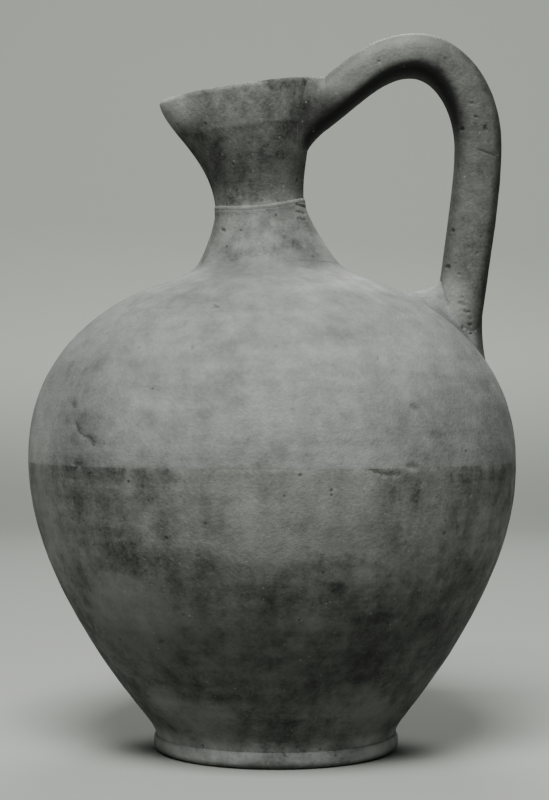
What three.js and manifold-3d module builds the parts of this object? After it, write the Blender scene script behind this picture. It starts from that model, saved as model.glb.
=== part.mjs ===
// An earthenware jug: ring foot, egg-shaped body, short neck, beaked mouth and one high loop handle.
// Lengths are in millimetres and angles in degrees. +Z is up, the beak points to -X and the handle
// stands on the +X side. The origin is the middle of the foot, on the surface that the jug stands on.
//
// The potter joins eight members of clay while they are leather-hard, and fires them as one:
// foot ring, lower body, upper body, neck, mouth, handle and the two pads that lute the handle on.
// Each member is first turned or shaped on a straight axis. Then the whole wall is settled: the
// finished body stands a little off plumb, and its neck leans towards the beak.

import * as THREE from 'three';
import { mergeVertices } from 'three/addons/utils/BufferGeometryUtils.js';
import Module from 'manifold-3d';

const wasm = await Module();
wasm.setup();

// Joints
const slipGap = 0.3; // room for the slip between two members that touch
const scarfAngle = 35; // slope of the bevelled seams, down towards the inside

// Foot ring
const footHeight = 7.8;
const restRadius = 56; // outer edge of the face that the jug stands on
const restWidth = 9;
const footBulge = 1.3; // how far the rounded edge stands out past the foot's top
const footBulgeLevel = 0.45; // of the widest place, as a share of the foot's height
const footInnerFlare = 3; // how much narrower the recess is at its top

// Lower body
const bodyWall = 6;
const floorThickness = 8;
const floorFillet = 10;
const baseRadius = 57.2; // the wall's root on the foot
const flareRadius = 62;
const flareRise = 8.7;
const wallAngle = 33.7; // of the wall above the flare, from plumb
const bellyRadius = 116.2;
const bellyRise = 129.7; // from the foot's top to the widest level
const lowerWallPull = 9; // straightness of the wall at the flare
const lowerBellyPull = 57.5; // fullness below the belly

// Upper body
const shoulderRadius = 50;
const shoulderRise = 85.6; // from the belly to the shoulder's inner edge
const shoulderSlope = 18;
const upperBellyPull = 53.5; // fullness above the belly
const shoulderPull = 27;
const collarRise = 7.9; // from the shoulder's inner edge up to the neck's seam

// Neck
const neckWall = 5.5;
const neckRootRadius = 34.5;
const neckRootSlope = 50;
const neckHeight = 29.4;
const neckRootPull = 8;
const throatPull = 6;
const throatRadius = 21.3;
const throatLedge = 0.5; // the neck's upper edge stands out past the mouth's root

// Mouth
const mouthHeight = 54;
const lipThickness = 4.2;
const rimRadius = 30.5;
const beakReach = 43.5; // from the mouth's axis to the tip of the beak
const beakRounding = 14; // half the angle that the rounded tip takes up
const flankRootPull = 16; // how far up the round part stays narrow
const flankRimPull = 24; // how far down from the rim the round part stands steep
const flankRadius = 29; // where the round part turns steep
const breastRootPull = 24;
const breastRimPull = 16;
const breastRadius = 41; // where the beak's breast turns steep
const rimSlope = 3; // the rim rises from the beak to the handle
const rimDip = 1.8; // how far the rim sags at its flanks

// Stance
const bodyDrift = 0.75; // the body's middle line, off plumb
const leanDepth = 19; // how far below the neck's seam the lean begins
const neckLean = 5.2;
const throatShift = 5; // from where the lean begins to the throat

// Handle
const handleWidth = 26.5;
const handleThickness = 22.2;
const handleRootThickness = 19.8;
const handleSquareness = 2.6; // 2 is an ellipse
const rootDrop = 13.2; // of the handle's axis below the rim
const rootRise = 36; // slope of the handle where it leaves the mouth
const rootPull = 22;
const crestReach = 48.3; // from the handle's root to its crest
const crestRise = 28;
const crestPull = 19;
const outerReach = 31.3; // from the crest to the outermost level
const outerDrop = 44;
const outerPull = 22;
const landingRadius = 89.5; // where the handle's axis meets the shoulder
const landingSlope = 7; // from plumb, at the landing
const landingPull = 31;
const buriedEnd = 3; // how far the handle's ends reach past the wall's face before they are cut to it
const handleSwell = [0.2, 0.5]; // shares of its length between which the handle grows thick

// Luting pads
const padEdge = 1.2; // thickness of the pads where they end on the handle
const upperPadReach = 8.6; // from the handle's root outwards
const upperPadDepth = 2; // from the handle's root into the mouth's wall
const upperPadSpread = 3.8; // of the clay where it meets the wall
const upperPadCrown = 4.5; // of the clay that fills up to the rim on top of the handle
const upperPadBurial = 10;
const lowerPadHeight = 6;
const lowerPadTongue = 20; // reach of the tongue that is smeared towards the neck
const lowerPadFlank = 5; // reach of the clay that is smeared out beside the handle
const lowerPadHeel = 2.4; // reach of the clay outside the loop
const lowerPadHeelHeight = 14;
const lowerPadRunOut = 0.7; // the fillet's curve ends this far below the shoulder's face
const lowerPadBurial = 6;

// Fineness of the facets
const roundSteps = 56;
const wallSteps = 10;
const collarSteps = 3;
const neckSteps = 6;
const mouthSteps = 8;
const handleSteps = 40;
const handleSides = 20;
const padSteps = 6;
const padSides = 28;
const edgeSteps = 6;
const filletSteps = 4;
const seatPasses = 6; // rounds in which a level that depends on itself settles

const radians = THREE.MathUtils.degToRad;
const bodyLevel = footHeight;
const bellyLevel = bodyLevel + bellyRise;
const shoulderLevel = bellyLevel + shoulderRise;
const neckLevel = shoulderLevel + collarRise;
const throatLevel = neckLevel + neckHeight;
const rimLevel = throatLevel + mouthHeight;
const leanLevel = neckLevel - leanDepth;

// Outlines, as radius and level above the table

function directed(angleFromPlumb, length) {
  const angle = radians(angleFromPlumb);
  return new THREE.Vector2(Math.sin(angle), Math.cos(angle)).multiplyScalar(length);
}

const baseCorner = new THREE.Vector2(baseRadius, bodyLevel);
const flareTop = new THREE.Vector2(flareRadius, bodyLevel + flareRise);
const belly = new THREE.Vector2(bellyRadius, bellyLevel);
const shoulderEdge = new THREE.Vector2(shoulderRadius, shoulderLevel);
const neckRoot = new THREE.Vector2(neckRootRadius, neckLevel);
const throat = new THREE.Vector2(throatRadius, throatLevel);
const intoShoulder = directed(shoulderSlope - 90, 1);
const intoNeck = directed(neckRootSlope - 90, 1);

const baseFlare = new THREE.LineCurve(baseCorner, flareTop);
const lowerWall = new THREE.CubicBezierCurve(
  flareTop,
  flareTop.clone().add(directed(wallAngle, lowerWallPull)),
  belly.clone().sub(directed(0, lowerBellyPull)),
  belly,
);
const upperWall = new THREE.CubicBezierCurve(
  belly,
  belly.clone().add(directed(0, upperBellyPull)),
  shoulderEdge.clone().addScaledVector(intoShoulder, -shoulderPull),
  shoulderEdge,
);
const collar = new THREE.QuadraticBezierCurve(
  shoulderEdge,
  crossing(shoulderEdge, intoShoulder, neckRoot, intoNeck),
  neckRoot,
);
const neckWallLine = new THREE.CubicBezierCurve(
  neckRoot,
  neckRoot.clone().addScaledVector(intoNeck, neckRootPull),
  throat.clone().sub(directed(0, throatPull)),
  throat,
);

function crossing(a, alongA, b, alongB) {
  const apart = b.clone().sub(a);
  const distance = apart.cross(alongB) / alongA.cross(alongB);
  return a.clone().addScaledVector(alongA, distance);
}

// The point at which a curve first passes a mark, found by halving
function passing(curve, isPast) {
  let before = 0;
  let past = 1;
  for (let halving = 0; halving < 30; halving += 1) {
    const middle = (before + past) / 2;
    if (isPast(curve.getPoint(middle))) past = middle;
    else before = middle;
  }
  return curve.getPoint(past);
}

// Points along a chain of curves, each with the direction in which the chain runs there
function trace(curves, steps) {
  return curves.flatMap((curve, index) => {
    const stations = [];
    for (let step = index === 0 ? 0 : 1; step <= steps[index]; step += 1) {
      const share = step / steps[index];
      stations.push({ point: curve.getPoint(share), along: curve.getTangent(share) });
    }
    return stations;
  });
}

// A point moved off the outline: inwards where the distance is positive
function inset({ point, along }, distance) {
  return new THREE.Vector2(point.x - along.y * distance, point.y + along.x * distance);
}

// The outline drawn back from its two ends to leave the slip's room in each seam
function drawnBack(stations, atStart, atEnd) {
  const first = stations[0];
  const last = stations.at(-1);
  return [
    { ...first, point: first.point.clone().addScaledVector(first.along, atStart) },
    ...stations.slice(1, -1),
    { ...last, point: last.point.clone().addScaledVector(last.along, -atEnd) },
  ];
}

// How the wall settled: the middle line in the plane Y = 0 and the tilt of each level

const drift = Math.tan(radians(bodyDrift));
const leanStart = new THREE.Vector2(-drift * leanLevel, leanLevel);
const throatCentre = new THREE.Vector2(leanStart.x - throatShift, throatLevel);
const leanDirection = directed(-neckLean, 1);
const bendPull = (throatLevel - leanLevel) / 3;
const bend = new THREE.CubicBezierCurve(
  leanStart,
  new THREE.Vector2(leanStart.x - drift * bendPull, leanLevel + bendPull),
  throatCentre.clone().addScaledVector(leanDirection, -bendPull),
  throatCentre,
);

function middleLine(level) {
  if (level <= leanLevel) return new THREE.Vector2(-drift * level, level);
  if (level >= throatLevel) {
    return throatCentre.clone().addScaledVector(leanDirection, level - throatLevel);
  }
  return bend.getPoint((level - leanLevel) / (throatLevel - leanLevel));
}

function settledPoint(across, side, level) {
  const centre = middleLine(level);
  const tilt = radians(neckLean) * THREE.MathUtils.smoothstep(level, leanLevel, throatLevel);
  const x = centre.x + across * Math.cos(tilt);
  return new THREE.Vector3(x, side, centre.y + across * Math.sin(tilt));
}

function settle(geometry) {
  const places = geometry.attributes.position;
  for (let i = 0; i < places.count; i += 1) {
    const { x, y, z } = settledPoint(places.getX(i), places.getY(i), places.getZ(i));
    places.setXYZ(i, x, y, z);
  }
  return geometry;
}

// Making closed bodies

function welded(geometry) {
  geometry.deleteAttribute('normal');
  geometry.deleteAttribute('uv');
  const merged = mergeVertices(geometry);
  const corners = merged.index.array;
  const kept = [];
  for (let i = 0; i < corners.length; i += 3) {
    const [a, b, c] = [corners[i], corners[i + 1], corners[i + 2]];
    if (a !== b && b !== c && c !== a) kept.push(a, b, c);
  }
  merged.setIndex(kept);
  return merged;
}

// A profile turned on the wheel, with +Z as the wheel's axis
function turned(profile) {
  const geometry = new THREE.LatheGeometry(profile, roundSteps);
  return welded(geometry.rotateX(Math.PI / 2));
}

// Rings of points joined side by side. A tube without end caps closes on its first ring.
function lofted(rings, endCaps) {
  const sides = rings[0].length;
  const points = rings.flat();
  const index = [];
  const spans = endCaps ? rings.length - 1 : rings.length;
  for (let ring = 0; ring < spans; ring += 1) {
    const here = ring * sides;
    const next = ((ring + 1) % rings.length) * sides;
    for (let side = 0; side < sides; side += 1) {
      const beside = (side + 1) % sides;
      index.push(here + side, here + beside, next + beside);
      index.push(here + side, next + beside, next + side);
    }
  }
  if (endCaps) {
    for (const [ring, outwards] of [[0, false], [rings.length - 1, true]]) {
      const middle = points.length;
      const sum = rings[ring].reduce((total, point) => total.add(point), new THREE.Vector3());
      points.push(sum.divideScalar(sides));
      for (let side = 0; side < sides; side += 1) {
        const a = ring * sides + side;
        const b = ring * sides + (side + 1) % sides;
        index.push(...(outwards ? [a, b, middle] : [b, a, middle]));
      }
    }
  }
  const geometry = new THREE.BufferGeometry().setFromPoints(points);
  geometry.setIndex(index);
  return geometry;
}

function toSolid(geometry) {
  return new wasm.Manifold(new wasm.Mesh({
    numProp: 3,
    vertProperties: new Float32Array(geometry.attributes.position.array),
    triVerts: new Uint32Array(geometry.index.array),
  }));
}

function toGeometry(solid) {
  const { vertProperties, triVerts } = solid.getMesh();
  const geometry = new THREE.BufferGeometry();
  geometry.setAttribute('position', new THREE.BufferAttribute(vertProperties, 3));
  geometry.setIndex(new THREE.BufferAttribute(triVerts, 1));
  return geometry;
}

// Turned members

const buttRoom = slipGap / 2;
const scarfRoom = buttRoom / Math.cos(radians(scarfAngle));

function scarfDrop(wall) {
  return new THREE.Vector2(0, -wall * Math.tan(radians(scarfAngle)));
}

function footRing() {
  const top = footHeight - slipGap;
  const recessRadius = restRadius - restWidth;
  const widest = new THREE.Vector2(baseRadius + footBulge, footHeight * footBulgeLevel);
  const corner = new THREE.Vector2(restRadius, 0);
  const lowerRound = new THREE.QuadraticBezierCurve(corner, new THREE.Vector2(widest.x, 0), widest);
  const upperRound = new THREE.QuadraticBezierCurve(
    widest,
    new THREE.Vector2(widest.x, top),
    new THREE.Vector2(baseRadius, top),
  );
  const edge = trace([lowerRound, upperRound], [edgeSteps / 2, edgeSteps / 2]);
  const profile = [
    new THREE.Vector2(recessRadius, 0),
    ...edge.map(({ point }) => point),
    new THREE.Vector2(recessRadius - footInnerFlare, top),
    new THREE.Vector2(recessRadius, 0),
  ];
  return turned(profile);
}

function lowerBody() {
  const outside = drawnBack(trace([baseFlare, lowerWall], [1, wallSteps]), 0, scarfRoom);
  const floorLevel = bodyLevel + floorThickness;
  const inside = outside.map((station) => inset(station, bodyWall));
  inside.at(-1).add(scarfDrop(bodyWall));
  const wallInside = inside.filter((point) => point.y > floorLevel + floorFillet).reverse();
  const last = wallInside.at(-1);
  const down = last.clone().sub(wallInside.at(-2)).normalize();
  const corner = crossing(last, down, new THREE.Vector2(0, floorLevel), new THREE.Vector2(1, 0));
  const filletEnd = new THREE.Vector2(corner.x - last.distanceTo(corner), floorLevel);
  const fillet = new THREE.QuadraticBezierCurve(last, corner, filletEnd);
  return settle(turned([
    new THREE.Vector2(0, bodyLevel),
    ...outside.map(({ point }) => point),
    ...wallInside,
    ...fillet.getPoints(filletSteps).slice(1),
    new THREE.Vector2(0, floorLevel),
  ]));
}

// A wall of even thickness between two seams. The lower seam is a scarf or a butt.
function wallBetween(outside, wall, lowerScarf, upperScarf) {
  const inside = outside.map((station) => inset(station, wall));
  if (lowerScarf) inside[0].add(scarfDrop(wall));
  if (upperScarf) inside.at(-1).add(scarfDrop(wall));
  const profile = [...outside.map(({ point }) => point), ...inside.reverse()];
  return settle(turned([...profile, profile[0].clone()]));
}

function upperBody() {
  const outline = trace([upperWall, collar], [wallSteps, collarSteps]);
  return wallBetween(drawnBack(outline, scarfRoom, buttRoom), bodyWall, true, false);
}

function neck() {
  const outline = trace([neckWallLine], [neckSteps]);
  const outside = drawnBack(outline, buttRoom, scarfRoom);
  outside.at(-1).point.x += throatLedge;
  return wallBetween(outside, neckWall, false, true);
}

// Mouth: round at the throat and at the back, drawn out to a beak in front

function funnelLine(rootPull, rimPull, steepRadius, topRadius) {
  return new THREE.CubicBezierCurve(
    new THREE.Vector2(throatRadius, 0),
    new THREE.Vector2(throatRadius, rootPull),
    new THREE.Vector2(steepRadius, mouthHeight - rimPull),
    new THREE.Vector2(topRadius, mouthHeight),
  );
}

const flankLine = funnelLine(flankRootPull, flankRimPull, flankRadius, rimRadius);
const breastLine = funnelLine(breastRootPull, breastRimPull, breastRadius, beakReach);

function radiusAt(line, height) {
  return passing(line, (point) => point.y >= height).x;
}

// The wall at a share of the mouth's height, set in from the outer face and lifted
function mouthRing(share, setIn, lift) {
  const height = mouthHeight * share;
  const flank = radiusAt(flankLine, height);
  const reach = Math.max(radiusAt(breastLine, height), flank);
  const rounding = radians(beakRounding);
  const beakAngle = Math.acos(flank / reach) + rounding;
  const slope = Math.tan(radians(rimSlope)) * share ** 2;
  const dip = rimDip * share ** 2;
  const ring = [];
  for (let side = 0; side < roundSteps; side += 1) {
    const angle = (side / roundSteps) * 2 * Math.PI;
    const fromBeak = Math.abs(angle - Math.PI);
    const taper = Math.max(0, beakAngle - Math.hypot(fromBeak, rounding));
    const radius = (flank - setIn) / Math.cos(taper);
    const across = radius * Math.cos(angle);
    const level = throatLevel + height + lift + across * slope - dip * Math.sin(angle) ** 2;
    ring.push(settledPoint(across, radius * Math.sin(angle), level));
  }
  return ring;
}

function wallShares() {
  return Array.from({ length: mouthSteps + 1 }, (_, step) => step / mouthSteps);
}

function mouth() {
  const shares = wallShares();
  const wallAt = (share) => THREE.MathUtils.lerp(neckWall, lipThickness, share);
  const lip = lipThickness / 2;
  const seamDrop = scarfDrop(neckWall).y;
  const outside = shares.map((share) => mouthRing(share, 0, share === 0 ? scarfRoom : 0));
  const lipRound = [45, 90, 135].map((turn) => {
    const setIn = lip - lip * Math.cos(radians(turn));
    return mouthRing(1, setIn, lip * Math.sin(radians(turn)));
  });
  const inside = shares.map((share) => {
    const lift = share === 0 ? scarfRoom + seamDrop : 0;
    return mouthRing(share, wallAt(share), lift);
  });
  return lofted([...outside, ...lipRound, ...inside.reverse()], false);
}

// The space inside the wall's outer face, grown by the slip's room: what the handle is cut back to

function shoulderCore() {
  const outline = trace([upperWall, collar, neckWallLine], [wallSteps, collarSteps, neckSteps]);
  const skin = outline.map((station) => inset(station, -slipGap));
  return toSolid(settle(turned([
    new THREE.Vector2(0, bellyLevel),
    ...skin,
    new THREE.Vector2(0, skin.at(-1).y),
  ])));
}

function mouthCore() {
  const rings = wallShares().map((share) => mouthRing(share, -slipGap, 0));
  rings.push(mouthRing(1, -slipGap, lipThickness / 2 + rimDip + slipGap));
  return toSolid(lofted(rings, true));
}

// Handle: a thick strap on a path in the plane Y = 0

function rootPlace() {
  const height = mouthHeight - rootDrop;
  const { x, z } = settledPoint(radiusAt(flankLine, height), 0, throatLevel + height);
  return new THREE.Vector2(x, z);
}

function landingPlace() {
  const { y } = passing(upperWall, (point) => point.x <= landingRadius);
  const { x, z } = settledPoint(landingRadius, 0, y);
  return new THREE.Vector2(x, z);
}

const root = rootPlace();
const landing = landingPlace();
const crest = root.clone().add(new THREE.Vector2(crestReach, crestRise));
const outermost = crest.clone().add(new THREE.Vector2(outerReach, -outerDrop));
const roundPull = 0.5523; // makes a cubic follow a quarter of an ellipse
const outOfRoot = directed(90 - rootRise, 1);
const ontoShoulder = directed(180 + landingSlope, 1);

const right = new THREE.Vector2(1, 0);
const up = new THREE.Vector2(0, 1);
const descent = new THREE.CubicBezierCurve(
  outermost,
  outermost.clone().addScaledVector(up, -outerPull),
  landing.clone().addScaledVector(ontoShoulder, -landingPull),
  landing,
);

function shoulderLevelAt(x, y) {
  return passing(upperWall, (point) => point.x <= Math.hypot(x - middleLine(point.y).x, y)).y;
}

// The handle meets both walls aslant, so its ends go in until their whole section is past the wall's face
function rootBurial() {
  const flank = radiusAt(flankLine, mouthHeight - rootDrop);
  const roundness = flank - Math.sqrt(flank ** 2 - (handleWidth / 2) ** 2);
  const rise = radians(rootRise);
  return (handleRootThickness / 2) * Math.tan(rise) + roundness / Math.cos(rise) + buriedEnd;
}

function landingBurial() {
  const lowest = shoulderLevelAt(landing.x + handleThickness / 2, handleWidth / 2);
  return (landing.y - lowest) / Math.cos(radians(landingSlope)) + buriedEnd;
}

function handlePath() {
  const path = new THREE.CurvePath();
  const start = root.clone().addScaledVector(outOfRoot, -rootBurial());
  const end = landing.clone().addScaledVector(ontoShoulder, landingBurial());
  path.add(new THREE.LineCurve(start, root));
  path.add(new THREE.CubicBezierCurve(
    root,
    root.clone().addScaledVector(outOfRoot, rootPull),
    crest.clone().addScaledVector(right, -crestPull),
    crest,
  ));
  path.add(new THREE.CubicBezierCurve(
    crest,
    crest.clone().addScaledVector(right, outerReach * roundPull),
    outermost.clone().addScaledVector(up, outerDrop * roundPull),
    outermost,
  ));
  path.add(descent);
  path.add(new THREE.LineCurve(landing, end));
  return path;
}

function squaredOff(angle, halfDepth, halfWidth) {
  const power = 2 / handleSquareness;
  const out = Math.sign(Math.cos(angle)) * Math.abs(Math.cos(angle)) ** power;
  const aside = Math.sign(Math.sin(angle)) * Math.abs(Math.sin(angle)) ** power;
  return { out: halfDepth * out, aside: halfWidth * aside };
}

// One squared-off oval round a point of the path: half sizes in the loop's plane and across it
function oval(centre, along, halfDepth, halfWidth, sides) {
  const ring = [];
  for (let side = 0; side < sides; side += 1) {
    const { out, aside } = squaredOff((-side / sides) * 2 * Math.PI, halfDepth, halfWidth);
    ring.push(new THREE.Vector3(centre.x - along.y * out, aside, centre.y + along.x * out));
  }
  return ring;
}

const path = handlePath();

function thicknessAt(share) {
  const grown = THREE.MathUtils.smoothstep(share, ...handleSwell);
  return THREE.MathUtils.lerp(handleRootThickness, handleThickness, grown);
}

function handleBar(grow) {
  const rings = [];
  for (let step = 0; step <= handleSteps; step += 1) {
    const share = step / handleSteps;
    const halfDepth = thicknessAt(share) / 2 + grow;
    const centre = path.getPointAt(share);
    rings.push(oval(centre, path.getTangentAt(share), halfDepth, handleWidth / 2 + grow, handleSides));
  }
  return toSolid(lofted(rings, true));
}

function handle() {
  return toGeometry(handleBar(0).subtract(mouthCore()).subtract(shoulderCore()));
}

// Luting pads: clay pressed round the handle's ends and smeared onto the wall

// The space above the rim. The upper pad ends there, level with the lip's rounding.
function aboveRim() {
  const size = 4 * rimRadius;
  const block = new THREE.BoxGeometry(size, size, size);
  block.translate(0, 0, size / 2);
  block.rotateY(-radians(neckLean + rimSlope));
  const centre = middleLine(rimLevel);
  return toSolid(welded(block.translate(centre.x, 0, centre.y + lipThickness / 4)));
}

// Both pads end in a hollow fillet, a quarter of an ellipse: its turn goes from the handle to the wall
function filletTurns() {
  return Array.from({ length: padSteps + 1 }, (_, step) => (step / padSteps) * (Math.PI / 2));
}

// One ring of the upper pad, upright, at a distance inwards from the handle's root
function upperPadRing(inwards, spread, crown) {
  const intoMouth = new THREE.Vector2(-1, 0);
  const climb = Math.tan(radians(rootRise));
  const halfDepth = handleRootThickness / 2 / Math.cos(radians(rootRise));
  const centre = root.clone().add(new THREE.Vector2(-inwards, crown / 2 - inwards * climb));
  const grow = padEdge + spread;
  return oval(centre, intoMouth, halfDepth + crown / 2 + grow, handleWidth / 2 + grow, padSides);
}

function upperPad() {
  const rings = filletTurns().map((turn) => {
    const inwards = (upperPadReach + upperPadDepth) * Math.sin(turn) - upperPadReach;
    return upperPadRing(inwards, upperPadSpread * (1 - Math.cos(turn)), upperPadCrown * Math.sin(turn));
  });
  rings.push(upperPadRing(upperPadDepth + upperPadBurial, upperPadSpread, upperPadCrown));
  const body = toSolid(lofted(rings, true));
  return toGeometry(body.subtract(handleBar(slipGap)).subtract(mouthCore()).subtract(aboveRim()));
}

// How far the handle's axis stands from the landing at a level, above it or below
function handleShift(level) {
  if (level > landing.y) return passing(descent, (point) => point.y <= level).x - landing.x;
  return (level - landing.y) * Math.tan(radians(landingSlope));
}

// The shoulder's level where a line beside the handle, which leans as the handle does, comes down on it
function seatLevel(x, y) {
  let level = landing.y;
  for (let pass = 0; pass < seatPasses; pass += 1) {
    level = shoulderLevelAt(x + handleShift(level), y);
  }
  return level;
}

// One ring of the lower pad. Its clay reaches far towards the neck and climbs high on the outer side.
function lowerPadRing(turn, lift) {
  const ring = [];
  for (let side = 0; side < padSides; side += 1) {
    const angle = (-side / padSides) * 2 * Math.PI;
    const inner = Math.max(0, -Math.cos(angle)) ** 2;
    const outer = Math.max(0, Math.cos(angle)) ** 2;
    const height = lowerPadHeight * (1 - outer) + lowerPadHeelHeight * outer;
    const reach = lowerPadFlank * (1 - inner - outer) + lowerPadTongue * inner + lowerPadHeel * outer;
    const { out, aside } = squaredOff(angle, handleThickness / 2, handleWidth / 2);
    const edgeX = landing.x + out + (padEdge + reach) * Math.cos(angle);
    const edgeY = aside + (padEdge + reach) * Math.sin(angle);
    const seat = seatLevel(edgeX, edgeY) - lowerPadRunOut;
    const level = seat + (height + lowerPadRunOut) * (1 - Math.sin(turn)) + lift;
    const back = reach * Math.cos(turn);
    const x = edgeX - back * Math.cos(angle) + handleShift(level);
    ring.push(new THREE.Vector3(x, edgeY - back * Math.sin(angle), level));
  }
  return ring;
}

function lowerPad() {
  const rings = filletTurns().map((turn) => lowerPadRing(turn, 0));
  rings.push(lowerPadRing(Math.PI / 2, -lowerPadBurial));
  const body = toSolid(lofted(rings, true));
  return toGeometry(body.subtract(handleBar(slipGap)).subtract(shoulderCore()));
}

// Fired clay, darker below the belly and at the mouth

function clay(color, roughness) {
  return new THREE.MeshStandardMaterial({ color, roughness, metalness: 0 });
}

const members = [
  ['foot_ring', footRing(), clay(0x66655f, 0.9)],
  ['lower_body', lowerBody(), clay(0x5c5c57, 0.9)],
  ['upper_body', upperBody(), clay(0x868780, 0.85)],
  ['neck', neck(), clay(0x8c8d86, 0.85)],
  ['mouth', mouth(), clay(0x63635d, 0.9)],
  ['handle', handle(), clay(0x6f6f69, 0.9)],
  ['handle_root_upper', upperPad(), clay(0x5a5a55, 0.9)],
  ['handle_root_lower', lowerPad(), clay(0x82837c, 0.9)],
];

const jug = new THREE.Group();
jug.name = 'jug';
for (const [name, geometry, material] of members) {
  geometry.computeVertexNormals();
  const mesh = new THREE.Mesh(geometry, material);
  mesh.name = name;
  jug.add(mesh);
}

export default jug;
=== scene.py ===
"""A fired-clay jug with a ring foot, a drawn-out beak and one high loop handle.

Every member of the jug is one closed mesh that stands for its CAD node. Shapes are worked out in
millimetres from the potter's own sizes, in the frame's axes: +Z up, beak to -X, handle on +X.
"""

import logging
import math
from abc import ABC, abstractmethod
from dataclasses import dataclass, field
from enum import Enum

import bpy
import numpy as np
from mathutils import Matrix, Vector


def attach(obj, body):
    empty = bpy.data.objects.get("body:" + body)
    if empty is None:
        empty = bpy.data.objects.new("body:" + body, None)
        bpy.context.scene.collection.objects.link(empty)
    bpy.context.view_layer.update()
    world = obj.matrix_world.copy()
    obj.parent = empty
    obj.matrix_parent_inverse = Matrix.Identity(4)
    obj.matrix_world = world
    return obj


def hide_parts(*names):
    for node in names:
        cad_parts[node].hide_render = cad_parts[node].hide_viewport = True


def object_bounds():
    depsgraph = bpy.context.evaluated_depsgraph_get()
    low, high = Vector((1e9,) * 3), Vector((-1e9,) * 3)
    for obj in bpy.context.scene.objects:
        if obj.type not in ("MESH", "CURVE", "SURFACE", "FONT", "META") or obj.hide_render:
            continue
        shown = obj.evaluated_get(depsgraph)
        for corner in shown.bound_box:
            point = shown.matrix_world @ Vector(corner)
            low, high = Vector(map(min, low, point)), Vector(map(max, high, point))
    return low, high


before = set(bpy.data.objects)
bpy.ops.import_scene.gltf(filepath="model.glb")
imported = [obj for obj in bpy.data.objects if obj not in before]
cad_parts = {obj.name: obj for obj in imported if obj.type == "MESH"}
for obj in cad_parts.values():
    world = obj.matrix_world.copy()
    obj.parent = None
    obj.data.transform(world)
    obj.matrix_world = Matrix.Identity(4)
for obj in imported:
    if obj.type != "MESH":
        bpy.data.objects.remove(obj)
cad_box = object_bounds()

METRES = 0.001
ROUND_SIDES = 440
BODY = "root"
LOG = logging.getLogger("jug")


# Plain geometry


@dataclass(frozen=True)
class Curve:
    """A Bézier curve in one plane, given by its control points."""

    points: tuple[tuple[float, float], ...]

    def at(self, shares: np.ndarray) -> np.ndarray:
        """Find points on the curve.

        Args:
            shares: Shares of the way, from 0 to 1.

        Returns:
            One point per share.
        """
        degree = len(self.points) - 1
        total = np.zeros((len(shares), 2))
        for index, point in enumerate(self.points):
            weight = math.comb(degree, index) * shares**index * (1 - shares) ** (degree - index)
            total += weight[:, None] * np.array(point)
        return total


def smoothstep(value: np.ndarray, low: float, high: float) -> np.ndarray:
    """Climb smoothly from 0 at low to 1 at high.

    Args:
        value: Values to map.
        low: Value that gives 0.
        high: Value that gives 1.

    Returns:
        The mapped values.
    """
    share = np.clip((value - low) / (high - low), 0, 1)
    return share * share * (3 - 2 * share)


def directed(angle_from_plumb: float, length: float) -> np.ndarray:
    """Make a vector in the plane from an angle in degrees from plumb.

    Args:
        angle_from_plumb: Angle from +Z towards +X.
        length: Length of the vector.

    Returns:
        The vector.
    """
    angle = math.radians(angle_from_plumb)
    return np.array([math.sin(angle), math.cos(angle)]) * length


def crossing(a: np.ndarray, along_a: np.ndarray, b: np.ndarray, along_b: np.ndarray) -> np.ndarray:
    """Find where two lines of one plane cross.

    Args:
        a: A point of the first line.
        along_a: The first line's direction.
        b: A point of the second line.
        along_b: The second line's direction.

    Returns:
        The crossing point.
    """
    distance = np.linalg.solve(np.array([along_a, -along_b]).T, b - a)[0]
    return a + along_a * distance


def joined(curves: list[Curve], steps: list[int]) -> np.ndarray:
    """Sample a chain of curves, each joint once.

    Args:
        curves: Curves that follow each other.
        steps: Steps on each curve.

    Returns:
        The points of the chain.
    """
    parts = [curve.at(np.linspace(0, 1, count + 1)) for curve, count in zip(curves, steps)]
    return np.vstack([parts[0], *[part[1:] for part in parts[1:]]])


def tangents(points: np.ndarray) -> np.ndarray:
    """Find the unit direction of a line of points at each of its points.

    Args:
        points: Points along the line.

    Returns:
        Unit directions.
    """
    along = np.gradient(points, axis=0)
    return along / np.linalg.norm(along, axis=1, keepdims=True)


def inset(points: np.ndarray, distance: np.ndarray | float) -> np.ndarray:
    """Move an outline inwards off itself.

    Args:
        points: The outline, running upwards.
        distance: How far it moves inwards.

    Returns:
        The moved outline.
    """
    along = tangents(points)
    inwards = np.stack([-along[:, 1], along[:, 0]], axis=1)
    return points + inwards * np.reshape(distance, (-1, 1))


# The jug's main levels and how its wall settled


@dataclass(frozen=True)
class Levels:
    """Heights of the jug's seams above the table."""

    foot_height: float = 7.8
    belly_rise: float = 129.7
    shoulder_rise: float = 85.6
    collar_rise: float = 7.9
    neck_height: float = 29.4
    mouth_height: float = 54.0

    @property
    def belly(self) -> float:
        """Level of the widest place."""
        return self.foot_height + self.belly_rise

    @property
    def shoulder(self) -> float:
        """Level of the shoulder's inner edge."""
        return self.belly + self.shoulder_rise

    @property
    def neck(self) -> float:
        """Level of the neck's root."""
        return self.shoulder + self.collar_rise

    @property
    def throat(self) -> float:
        """Level of the narrowest place."""
        return self.neck + self.neck_height

    @property
    def rim(self) -> float:
        """Level of the rim before the mouth leans."""
        return self.throat + self.mouth_height


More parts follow.
